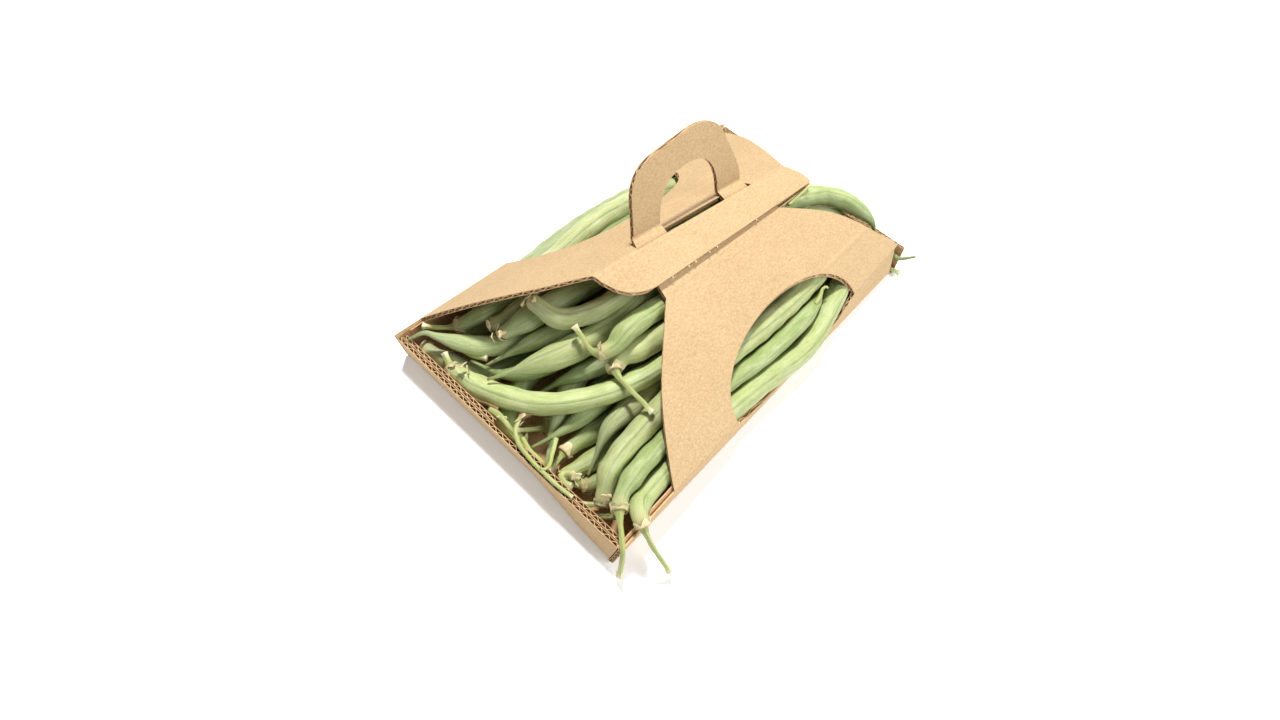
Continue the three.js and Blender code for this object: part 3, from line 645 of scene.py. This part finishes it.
def upright_board(name, path, right, left, replaced, lean):
    """A board across the carton, between two limits that depend on the height, whose wave runs upwards. path
    gives (x, z, normal x, normal z), and lean how far it moves in at y for each mm below its top."""
    count = round((left(8) - right(8)) / WAVE * WAVE_STEPS)
    share = np.linspace(0, 1, count + 1)
    points = np.zeros((count + 1, len(path), 3))
    normals = np.zeros_like(points)
    for j, (x, z, nx, nz) in enumerate(path):
        points[:, j, 1] = right(z) + (left(z) - right(z)) * share
        points[:, j, 0] = [x + lean(y) * (END_WALL_HEIGHT - z) for y in points[:, j, 1]]
        points[:, j, 2] = z
        normals[:, j] = (nx, 0, nz)
    coarse = sorted({0, *range(0, count, WAVE_STEPS * 4), count})
    obj = board(name, points, normals, coarse)
    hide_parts(*replaced)
    return obj


def rounded_foot(face, side):
    """The fold at an end wall's foot, as a path for upright_board."""
    radius = 1.2
    return [
        (face - side * radius * (1 - math.sin(turn)), BOARD / 2 + radius * (1 - math.cos(turn)),
         side * math.sin(turn), -math.cos(turn))
        for turn in np.linspace(0, math.pi / 2, 6)
    ]


def end_boards(name, side, lean, right_end, flap_gap):
    """One end of the carton: its wall and the two flaps glued inside it."""
    end = side * LENGTH / 2
    right = lambda z: wall_inside(right_base, right_fold, end, z)
    left = lambda z: wall_inside(left_base, left_fold, end, z)
    face = end - side * BOARD / 2
    path = rounded_foot(face, side) + [(face, z, side, 0) for z in (6.0, 10.0, END_WALL_HEIGHT)]
    wall = upright_board(f"{name}_wall", path, right_end or right, left, [f"{name}_end_wall"], lean)
    inner = face - side * (BOARD + GAP)
    low = BOARD + GAP
    path = [(inner, z, side, 0) for z in np.linspace(low, low + FLAP_HEIGHT, 4)]
    left_flap = upright_board(f"{name}_flap_left", path, lambda z: left(z) - FLAP_LENGTH,
                              lambda z: left(z) - GAP, [f"{name}_left_flap"], lean)
    right_flap = upright_board(f"{name}_flap_right", path, lambda z: right(z) + flap_gap,
                               lambda z: right(z) + FLAP_LENGTH, [f"{name}_right_flap"], lean)
    return [wall, left_flap, right_flap]


def end_walls():
    front = end_boards("front", -1, front_lean, None, GAP)
    apart = lambda z: -HALF_BASE + APART_LEAN * z
    rear = end_boards("rear", 1, lambda y: 0.0, apart, APART_GAP)
    return front + rear


# ------------------------------------------------------------------ beans

def pod_rings(obj):
    """Centre and radius of each ring of a bean's CAD solid, from its stem end to its tail."""
    co = np.array([v.co for v in obj.data.vertices]) / MM
    _, first, index = np.unique(np.round(co, 3), axis=0, return_index=True, return_inverse=True)
    index = index.reshape(-1)
    co = co[first]
    near = [set() for _ in co]
    for polygon in obj.data.polygons:
        corner = [index[v] for v in polygon.vertices]
        for a, b in zip(corner, corner[1:] + corner[:1]):
            near[a].add(b)
            near[b].add(a)
    for pole in range(len(co)):
        if len(near[pole]) != 8:
            continue
        layers = [[pole]]
        seen = {pole}
        while layers[-1]:
            ring = {b for a in layers[-1] for b in near[a]} - seen
            seen |= ring
            layers.append(sorted(ring))
        sizes = [len(layer) for layer in layers[1:-2]]
        if all(size == 8 for size in sizes) and len(layers[-2]) == 1:
            break
    centres = np.array([co[layer].mean(0) for layer in layers[1:-2]])
    reach = [np.linalg.norm(co[layer] - c, axis=1) for layer, c in zip(layers[1:-2], centres)]
    radii = np.array([r.mean() for r in reach])
    if radii[0] < radii[-1]:
        centres, radii = centres[::-1], radii[::-1]
    return centres, radii


def monotone(x, y, at):
    """A smooth curve through values that doesn't overshoot them."""
    h = np.diff(x)
    slope = np.diff(y) / h
    rate = np.zeros_like(y)
    for i in range(1, len(x) - 1):
        if slope[i - 1] * slope[i] > 0:
            rate[i] = 2 / (1 / slope[i - 1] + 1 / slope[i])
    k = np.clip(np.searchsorted(x, at) - 1, 0, len(h) - 1)
    t = np.clip((at - x[k]) / h[k], 0, 1)
    return ((1 + 2 * t) * (1 - t) ** 2 * y[k] + t * (1 - t) ** 2 * h[k] * rate[k]
            + t ** 2 * (3 - 2 * t) * y[k + 1] + t ** 2 * (t - 1) * h[k] * rate[k + 1])


GREEN_LIGHT = np.array(srgb(200, 208, 154))
GREEN = np.array(srgb(154, 172, 102))
GREEN_DARK = np.array(srgb(92, 112, 58))
STALK_GREEN = np.array(srgb(180, 186, 118))
TAN = np.array(srgb(204, 182, 136))
CUT = np.array(srgb(238, 230, 196))
TIP = np.array(srgb(150, 140, 80))

# How light each bean is, with painted shade; the others are near 1. A seam's angle is measured from the
# bean's top.
# Painted shade: the beans that lie under the covers and deep in the heap are made darker.
BEAN_TONE_AND_SHADE = {
    1: 1.08, 2: 1.0, 3: 0.92, 4: 0.84, 5: 0.9, 6: 0.74, 7: 0.7, 8: 0.78, 9: 0.76, 10: 0.58, 11: 1.0, 12: 0.84,
    13: 0.74, 14: 0.84, 16: 0.74, 17: 0.76, 19: 0.9, 20: 0.86, 21: 1.04, 22: 0.7, 24: 1.1, 27: 1.12, 43: 0.7,
}
FULLNESS = {19: 1.1, 20: 1.02, 21: 1.1, 24: 1.05, 27: 1.04, 1: 1.0, 2: 1.0}
SEAMS = {1: 0.75, 2: -0.15, 11: 0.5, 19: 0.35, 20: 0.2, 21: 0.3, 24: -0.4, 27: 0.6, 5: 0.4, 4: 0.5}


def blend_colour(first, second, share):
    share = np.clip(share, 0, 1)[..., None]
    return first + (second - first) * share


def bean_profile(name, number):
    """A bean's stations along its middle, from its stem end, with the place, direction and radius at
    each. Then the length of its stalk, or 0, and the greatest radius of its CAD solid."""
    centres, rings = pod_rings(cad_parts[name])
    dense, marks = catmull(centres, 40)
    along = np.concatenate([[0], np.cumsum(np.linalg.norm(np.diff(dense, axis=0), axis=1))])
    length = along[-1]
    calyx = np.argmax(rings > 2.0)
    stalk = marks[calyx] - 0.8 if calyx > 0 else 0.0
    has_stalk = stalk > 2

    stations = np.append(np.arange(max(stalk - 2, 0), length - 0.5, 1.0), length)
    if has_stalk:
        stations = np.concatenate([np.arange(0, stalk - 2.2, 0.8), stations])
    fullness = FULLNESS.get(number, 0.985)
    if fullness > 1.05:
        fullness = np.interp(stations - stalk, (20, 60), (0.93, fullness))
    radius = monotone(marks, rings, stations) * fullness
    if has_stalk:
        cut_end = 0.5 * np.exp(-stations / 0.9)
        shoulder = 0.45 * np.clip((stations - stalk + 5) / 4, 0, 1)
        radius = np.where(stations < stalk - 1.5, radius * (0.74 + cut_end + shoulder), radius)
    centre = np.stack([np.interp(stations, along, dense[:, k]) for k in range(3)], 1)
    tangent = np.gradient(centre, axis=0)
    tangent /= np.linalg.norm(tangent, axis=1)[:, None]
    return stations, centre, tangent, radius, stalk, rings.max()


def ring_turns():
    """The angles of the points round a bean, close together on its seam and on its back."""
    turns = np.linspace(0, 2 * np.pi, 29)[:-1]
    return np.sort(np.concatenate([turns, [0.08, 2 * np.pi - 0.08, np.pi - 0.08, np.pi + 0.08]]))


def bean_start(first, forward, has_stalk):
    """The rings and colours that close a bean's stem end: a cut stalk, or the dimple where the stalk was."""
    middle = first.mean(0)
    if has_stalk:
        steps = ((0.45, 0.25), (0.8, 0.18))
        tints = [CUT * 0.94, CUT]
    else:
        steps = ((0.34, 1.3), (0.42, 0.6), (0.72, 0.25))
        tints = [TAN * 1.1, STALK_GREEN * 0.9, TAN]
    return [middle + (first - middle) * k - forward * d for k, d in steps], tints


def bean(name):
    number = int(name.split("_")[1])
    luck = np.random.default_rng(100 + number)
    stations, centre, tangent, radius, stalk, full = bean_profile(name, number)
    length = stations[-1]
    has_stalk = stalk > 2
    turns = ring_turns()
    columns = len(turns)
    to_seam = np.minimum(turns, 2 * np.pi - turns)
    to_back = np.abs(turns - np.pi)
    seam_line = np.exp(-(to_seam / 0.08) ** 2) + 0.7 * np.exp(-(to_back / 0.07) ** 2)
    seam_hump = np.exp(-(to_seam / 0.28) ** 2) + 0.6 * np.exp(-(to_back / 0.28) ** 2)

    # Each bean's own tone, darkened as painted shade where the bean lies in shade.
    tone_and_shade = BEAN_TONE_AND_SHADE.get(number, luck.uniform(0.84, 1.04))
    base = blend_colour(GREEN, GREEN_LIGHT, np.array(luck.uniform(0.25, 0.95))) * tone_and_shade
    base = base * np.array([luck.uniform(0.95, 1.05), 1.0, luck.uniform(0.92, 1.08)])
    seam = SEAMS.get(number, luck.uniform(-1.2, 1.2))
    seeds = luck.uniform(9.5, 12)
    relief = luck.uniform(0.3, 1.0)
    phase = luck.uniform(0, 6.28, 7)
    spotted = luck.uniform(0.2, 1.0)

    def ring(s, r):
        """The distance of each point from the middle: seeds, seams and small unevenness over the radius."""
        in_body = np.clip((s - stalk - 3) / 8, 0, 1) * np.clip((length - 20 - s) / 12, 0, 1)
        on_body = np.clip((s - stalk - 1) / 3, 0, 1) * np.clip((length - 8 - s) / 10, 0, 1)
        swell = 0.045 * relief * np.cos(2 * np.pi * s / seeds + phase[0]) * in_body
        slow = 0.03 * np.sin(s / 17 + phase[1]) * in_body
        oval = 1 + 0.05 * in_body * np.cos(2 * turns)
        bumps = 1 + swell * np.abs(np.sin(turns)) ** 1.5 + slow
        uneven = 1 + on_body * (0.014 * np.sin(3 * turns + 0.31 * s + phase[2])
                                + 0.012 * np.sin(5 * turns - 0.19 * s + phase[3])
                                + 0.012 * np.sin(2 * turns + 0.55 * s + phase[4]))
        ridged = 1 + on_body * (0.045 * seam_hump - 0.05 * seam_line)
        if s < stalk - 1.5:
            ridged = 1 + 0.08 * np.cos(5 * turns + 0.08 * s) + 0.05 * np.sin(2 * turns + 0.9 * s + phase[5])
        return r * oval * bumps * ridged * uneven, in_body, on_body

    def ring_colour(s, on_body):
        """Green, darker towards the tail and in the seams, brown at the calyx and pale at the cut."""
        colour = np.tile(base, (columns, 1)) * (1 + 0.06 * np.cos(turns + phase[6]))[:, None]
        toward_tail = np.clip((s - (length - 26)) / 22, 0, 1)
        colour = blend_colour(colour, GREEN_DARK * tone_and_shade, np.full(columns, 0.5 * toward_tail))
        colour = blend_colour(colour, GREEN_DARK * 0.85, 0.78 * seam_line * on_body)
        colour = blend_colour(colour, GREEN_LIGHT, 0.3 * seam_hump * on_body)
        if length - s < 2.2:
            colour = blend_colour(colour, TIP, np.full(columns, 0.6))
        near_calyx = np.exp(-((s - stalk - 1.0) / 2.0) ** 2)
        colour = blend_colour(colour, TAN, np.full(columns, 0.5 * near_calyx))
        if has_stalk and s < stalk - 0.5:
            colour = np.tile(STALK_GREEN * (1.08 - 0.25 * np.clip(s / stalk, 0, 1)), (columns, 1))
            colour = blend_colour(colour, CUT, np.full(columns, np.exp(-(s / 1.7) ** 2)))
        return colour

    up = np.array([0.0, 0.0, 1.0])
    verts, tints, spots, grains = [], [], [], []
    for i, s in enumerate(stations):
        up = up - tangent[i] * (up @ tangent[i])
        up /= np.linalg.norm(up)
        side = np.cross(tangent[i], up)
        r, in_body, on_body = ring(s, radius[i])
        angle = turns + seam + 0.005 * (s - length / 2)
        verts.append(centre[i] + (np.cos(angle)[:, None] * up + np.sin(angle)[:, None] * side) * r[:, None])
        tints.append(ring_colour(s, on_body))
        spots.append(np.full(columns, in_body * spotted))
        around = np.stack([np.cos(turns), np.sin(turns)], 1) * full
        grains.append(np.hstack([around, np.full((columns, 1), s)]) + number * 37.0)

    start, start_tints = bean_start(verts[0], tangent[0], has_stalk)
    last = verts[-1].mean(0)
    finish = last + (verts[-1] - last) * 0.55 + tangent[-1] * 0.2
    verts = [*start, *verts, finish]
    tints = [*(np.tile(c, (columns, 1)) for c in start_tints), *tints, tints[-1]]
    spots = [*([np.zeros(columns)] * len(start)), *spots, np.zeros(columns)]
    grains = [*([grains[0]] * len(start)), *grains, grains[-1]]
    obj = tube(name + "_pod", verts, tints, spots, grains)
    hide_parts(name)
    at = int(np.argmin(np.abs(stations - stalk)))
    sepals(obj, centre[at], tangent[at], max(radius[at], 1.8), luck, number)
    return obj


def tube(name, rows, tints, spots, grains):
    """A closed skin through rings of points, with the colour, spots and grain of each ring."""
    columns = len(rows[0])
    faces = grid_faces(len(rows), columns, close=True)
    pole = len(rows) * columns
    faces += [(j, pole, (j + 1) % columns) for j in range(columns)]
    edge = pole - columns
    faces += [(edge + j, edge + (j + 1) % columns, pole + 1) for j in range(columns)]
    obj = make_object(name, np.vstack([*rows, rows[0].mean(0), rows[-1].mean(0)]), faces, smooth=True)
    paint(obj, np.vstack([*tints, tints[0][0], tints[-1][0]]), np.concatenate([*spots, [0, 0]]),
          np.vstack([*grains, grains[0][0], grains[-1][0]]))
    return obj


def paint(obj, tints, spots, grains):
    mesh = obj.data
    tint = mesh.attributes.new("tint", "FLOAT_COLOR", "POINT")
    tint.data.foreach_set("color", np.hstack([tints, np.ones((len(tints), 1))]).astype(np.float32).ravel())
    mesh.attributes.new("skin", "FLOAT", "POINT").data.foreach_set("value", np.asarray(spots, np.float32))
    grain = mesh.attributes.new("grain", "FLOAT_VECTOR", "POINT")
    grain.data.foreach_set("vector", np.asarray(grains, np.float32).ravel())
    mesh.materials.append(BEAN_SKIN)


def join(obj, others):
    with bpy.context.temp_override(active_object=obj, object=obj, selected_objects=[obj, *others],
                                   selected_editable_objects=[obj, *others]):
        bpy.ops.object.join()


def sepals(obj, centre, axis, radius, luck, number):
    """The dry papery calyx: a thin ragged cup round the stem end, its lobes of uneven length."""
    lobes = int(luck.integers(3, 6))
    columns, rows = 36, 6
    up = np.array([0.0, 0.0, 1.0])
    up = up - axis * (up @ axis)
    up /= np.linalg.norm(up)
    side = np.cross(axis, up)
    turns = np.linspace(0, 2 * np.pi, columns, endpoint=False)
    offset = luck.uniform(0, 6.28)
    which = np.floor((lobes * (turns + offset) / (2 * np.pi)) + 0.5).astype(int) % lobes
    ragged = luck.uniform(-0.35, 0.35, columns)
    long = luck.uniform(1.2, 3.6, lobes)[which]
    curl = luck.uniform(0.1, 2.0, lobes)[which]
    lobe = np.abs(np.cos(lobes * (turns + offset) / 2)) ** 1.7
    reach = 0.9 + long * lobe + ragged * 0.6
    spread = np.cos(turns)[:, None] * up + np.sin(turns)[:, None] * side
    inner, outer = [], []
    for i in range(rows):
        share = i / (rows - 1)
        forward = reach * share * (1 - 0.3 * curl * share)
        flare = radius + 0.16 + 0.2 * share + curl * lobe * share ** 2
        wave = 0.14 * np.sin(3 * lobes * turns + offset) * share
        base = centre + axis * (forward - 0.9)[:, None]
        outer.append(base + spread * (flare + wave + 0.09)[:, None])
        inner.append(base + spread * (flare + wave - 0.09 - 0.45 * (1 - share))[:, None])
    under = rows * columns
    faces = grid_faces(rows, columns, close=True)
    faces += [tuple(reversed(f)) for f in grid_faces(rows, columns, under, close=True)]
    for i in (0, rows - 1):
        for j in range(columns):
            a = i * columns + j
            b = i * columns + (j + 1) % columns
            faces.append((a, b, b + under, a + under))
    cup = make_object("cup", np.vstack([*outer, *inner]), faces, smooth=True)
    share = np.repeat(np.linspace(0, 1, rows), columns)
    tone = luck.uniform(0.8, 1.1)
    tints = blend_colour(TAN * tone, CUT * np.array([0.95, 0.9, 0.84]) * tone, share ** 0.8)
    grains = np.tile(np.stack([turns * 3, turns * 0, turns * 0], 1), (2 * rows, 1)) + number * 11.0
    # The cup's inside gets the same colours made darker: painted shade inside the cup.
    paint(cup, np.vstack([tints, tints * 0.8]), np.zeros(2 * under), grains)
    join(obj, [cup])


def strand(points, thick, thin, cut_tip, number):
    """A loose stalk or tail: its thickness at its first and last points, and whether that end is cut."""
    dense, _ = catmull(np.array(points, float), 14)
    along = np.concatenate([[0], np.cumsum(np.linalg.norm(np.diff(dense, axis=0), axis=1))])
    stations = np.arange(0, along[-1], 0.8)
    centre = np.stack([np.interp(stations, along, dense[:, k]) for k in range(3)], 1)
    tangent = np.gradient(centre, axis=0)
    tangent /= np.linalg.norm(tangent, axis=1)[:, None]
    turns = np.linspace(0, 2 * np.pi, STRAND_SIDES, endpoint=False)
    up = np.array([0.0, 0.3, 1.0])
    rows, tints, grains = [], [], []
    for i, s in enumerate(stations):
        up = up - tangent[i] * (up @ tangent[i])
        up /= np.linalg.norm(up)
        side = np.cross(tangent[i], up)
        share = s / along[-1]
        r = thick + (thin - thick) * share
        if cut_tip:
            r *= 1 + 0.35 * np.exp(-(along[-1] - s) / 0.8)
        r = r * (1 + 0.09 * np.cos(5 * turns + 0.1 * s) + 0.05 * np.sin(2 * turns + 1.1 * s))
        rows.append(centre[i] + (np.cos(turns)[:, None] * up + np.sin(turns)[:, None] * side) * r[:, None])
        tip = CUT if cut_tip else TIP
        colour = blend_colour(STALK_GREEN, tip, np.array(np.exp(-((along[-1] - s) / 1.2) ** 2)))
        tints.append(np.tile(colour, (STRAND_SIDES, 1)))
        around = np.stack([np.cos(turns), np.sin(turns), turns * 0 + s], 1)
        grains.append(around + number * 53.0)
    return tube("strand", rows, tints, [np.zeros(STRAND_SIDES)] * len(rows), grains)


def flake(place, size, tilt, number):
    """A scrap of dry calyx: a small curled sheet with a torn edge."""
    luck = np.random.default_rng(500 + number)
    turns = np.linspace(0, 2 * np.pi, FLAKE_SIDES, endpoint=False)
    outline = 0.8 + 0.35 * np.sin(3 * turns + luck.uniform(0, 6))
    outline = size * (outline + luck.uniform(-0.15, 0.15, FLAKE_SIDES))
    spin = Matrix.Rotation(luck.uniform(0, 6.28), 3, "Z") @ Matrix.Rotation(tilt, 3, "X")
    rows, tints = [], []
    upper = [(0.05, 0.09), (0.5, 0.09), (1.0, 0.07)]
    for share, thickness in [*upper, *((share, -lift) for share, lift in reversed(upper))]:
        x = np.cos(turns) * outline * share
        y = np.sin(turns) * outline * share * 0.75
        z = 0.16 * (x ** 2 - 0.5 * y ** 2) / size + thickness
        sheet = np.stack([x, y, z], 1) @ np.array(spin).T
        rows.append(sheet + np.array(place))
        tone = blend_colour(TAN * 0.8, CUT * np.array([0.9, 0.82, 0.74]), np.array(share ** 2))
        tints.append(np.tile(tone, (FLAKE_SIDES, 1)))
    grains = [np.stack([np.cos(turns), np.sin(turns), turns * 0], 1) + number] * len(rows)
    return tube("flake", rows, tints, [np.zeros(FLAKE_SIDES)] * len(rows), grains)


def scraps():
    """Loose stalks, tails and dry scraps along the front wall and between the stem ends."""
    strands = [
        ([(-89.1, -0.9, 17), (-92.9, -2.9, 16.4), (-95.6, -7.3, 16.4), (-97, -15, 16.6), (-97.2, -21, 16.7),
          (-97, -27.7, 16.4), (-96, -34, 15.5)], 0.78, 0.66, True),
        ([(-84.9, -14.3, 15), (-89.8, -17.5, 15), (-93.6, -20, 15.6), (-96.4, -20.4, 17.2),
          (-97.6, -18.6, 17.4)], 0.95, 0.45, False),
        ([(-92.2, -5.6, 13), (-93.6, -10, 13.4), (-93.8, -15, 13.6), (-93.6, -19, 13.4)], 0.9, 0.55, False),
        ([(-92.6, 10, 13), (-92.8, 4.6, 15), (-93.2, -0.5, 14.4), (-93.2, -6, 12.6)], 1.3, 0.6, False),
        ([(-93.2, 7.4, 11.4), (-93.2, 2.3, 10), (-92.8, -2.3, 9), (-91, -7, 8)], 1.6, 0.9, True),
        ([(-86.6, 38, 16), (-84.9, 34, 16.4), (-83.2, 28.5, 16.6), (-81, 24.8, 17.4)], 1.0, 1.0, True),
        ([(-89.4, -30, 13), (-90.6, -26.4, 14.2), (-93, -25, 14.8), (-93.8, -27.6, 13.6),
          (-92.4, -29.7, 12.4)], 1.3, 1.0, True),
        ([(-92.8, -41.8, 8), (-91, -45.2, 11), (-88.8, -48.6, 12.6)], 1.1, 0.8, False),
        ([(33, -44.2, 18.6), (36.5, -43.6, 20.4), (39.6, -42.4, 21.6), (41.4, -43, 22), (41.4, -44.4, 21.2)],
         1.0, 0.4, True),
        ([(42, -13.4, 45.2), (47.4, -13.8, 46.7), (51.8, -13.9, 47.7), (55.8, -13.8, 48.2)], 0.6, 0.45, True),
    ]
    flakes = [
        ((-91, 27, 20.4), 2.1, 0.6), ((-90, 24.6, 19), 1.7, 1.2), ((-86.6, 38.9, 17.4), 1.9, 0.5),
        ((-88.9, -0.8, 17.6), 2.6, 0.8), ((-90.4, -2.4, 15.8), 1.7, 1.4), ((-93, 3.6, 15.4), 1.8, 0.9),
        ((-90.4, -28.8, 16.6), 2.0, 0.5), ((-91.6, -31, 14.8), 1.4, 1.1), ((-89.6, -42, 19.6), 2.0, 0.9),
        ((-79, 24, 28.6), 1.8, 1.2), ((-76.2, 22.6, 30.2), 1.8, 0.4), ((-65.3, 18.3, 43.6), 1.2, 0.8),
    ]
    made = [strand(*row, i) for i, row in enumerate(strands)]
    made += [flake(*row, i) for i, row in enumerate(flakes)]
    obj = made[0]
    join(obj, made[1:])
    obj.name = "loose_stalks"
    return obj


# ------------------------------------------------------------------ camera, light, floor

def camera():
    azimuth, elevation, roll = (math.radians(a) for a in CAMERA_ANGLES)
    level = math.cos(elevation)
    back = Vector((math.cos(azimuth) * level, math.sin(azimuth) * level, math.sin(elevation)))
    right = Vector((0, 0, 1)).cross(back).normalized()
    up = back.cross(right)
    x = right * math.cos(roll) + up * math.sin(roll)
    y = up * math.cos(roll) - right * math.sin(roll)
    data = bpy.data.cameras.new("camera")
    data.lens = CAMERA_LENS
    data.sensor_width = SENSOR_WIDTH
    data.clip_start = 0.01
    obj = bpy.data.objects.new("camera", data)
    turn = Matrix((x, y, back)).transposed().to_4x4()
    obj.matrix_world = Matrix.Translation(Vector(CAMERA_PLACE) * MM) @ turn
    bpy.context.scene.collection.objects.link(obj)
    bpy.context.scene.camera = obj


def lamp(name, place, size, power, colour):
    data = bpy.data.lights.new(name, "AREA")
    data.shape = "DISK"
    data.size = size
    data.energy = power
    data.color = colour
    obj = bpy.data.objects.new(name, data)
    place = Vector(place)
    obj.location = place
    obj.rotation_euler = (place - Vector((0, 0, 0.02))).to_track_quat("Z", "Y").to_euler()
    bpy.context.scene.collection.objects.link(obj)


def light():
    lamp("key", (0.16, 0.40, 1.25), 0.16, 20, (1.0, 0.985, 0.96))
    lamp("second", (0.35, -1.0, 0.95), 0.9, 14, (1.0, 1.0, 1.0))
    world = bpy.data.worlds.new("world")
    bpy.context.scene.world = world
    world.use_nodes = True
    background = world.node_tree.nodes["Background"]
    background.inputs["Color"].default_value = (1.0, 0.995, 0.99, 1)
    background.inputs["Strength"].default_value = 0.24
    bpy.context.scene.view_settings.view_transform = "Standard"


def floor():
    half = FLOOR_SIZE / 2
    verts = [(-half, -half, 0), (half, -half, 0), (half, half, 0), (-half, half, 0)]
    sheet = make_object("floor", verts, [(0, 1, 2, 3)])
    sheet.location.z = -0.2 * MM
    material, tree, surface = shader("floor")
    place = node(tree, "ShaderNodeTexCoord").outputs["Object"]
    pale = ramp(tree, noise_at(tree, place, 6, 2), [(0.3, (0.88, 0.88, 0.88)), (0.7, (0.9, 0.9, 0.9))])
    tree.links.new(pale, surface.inputs["Base Color"])
    surface.inputs["Roughness"].default_value = 0.9
    surface.inputs["Emission Color"].default_value = (1, 1, 1, 1)
    surface.inputs["Emission Strength"].default_value = 0.25
    sheet.data.materials.append(material)


camera()
light()
floor()
pieces = [carton_wrap(), carton_handle(), *end_walls()]
loose = scraps()
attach(loose, "root")
for piece in pieces:
    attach(piece, "root")
for name in sorted(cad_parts):
    if name.startswith("bean"):
        pod = bean(name)
        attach(pod, "root")
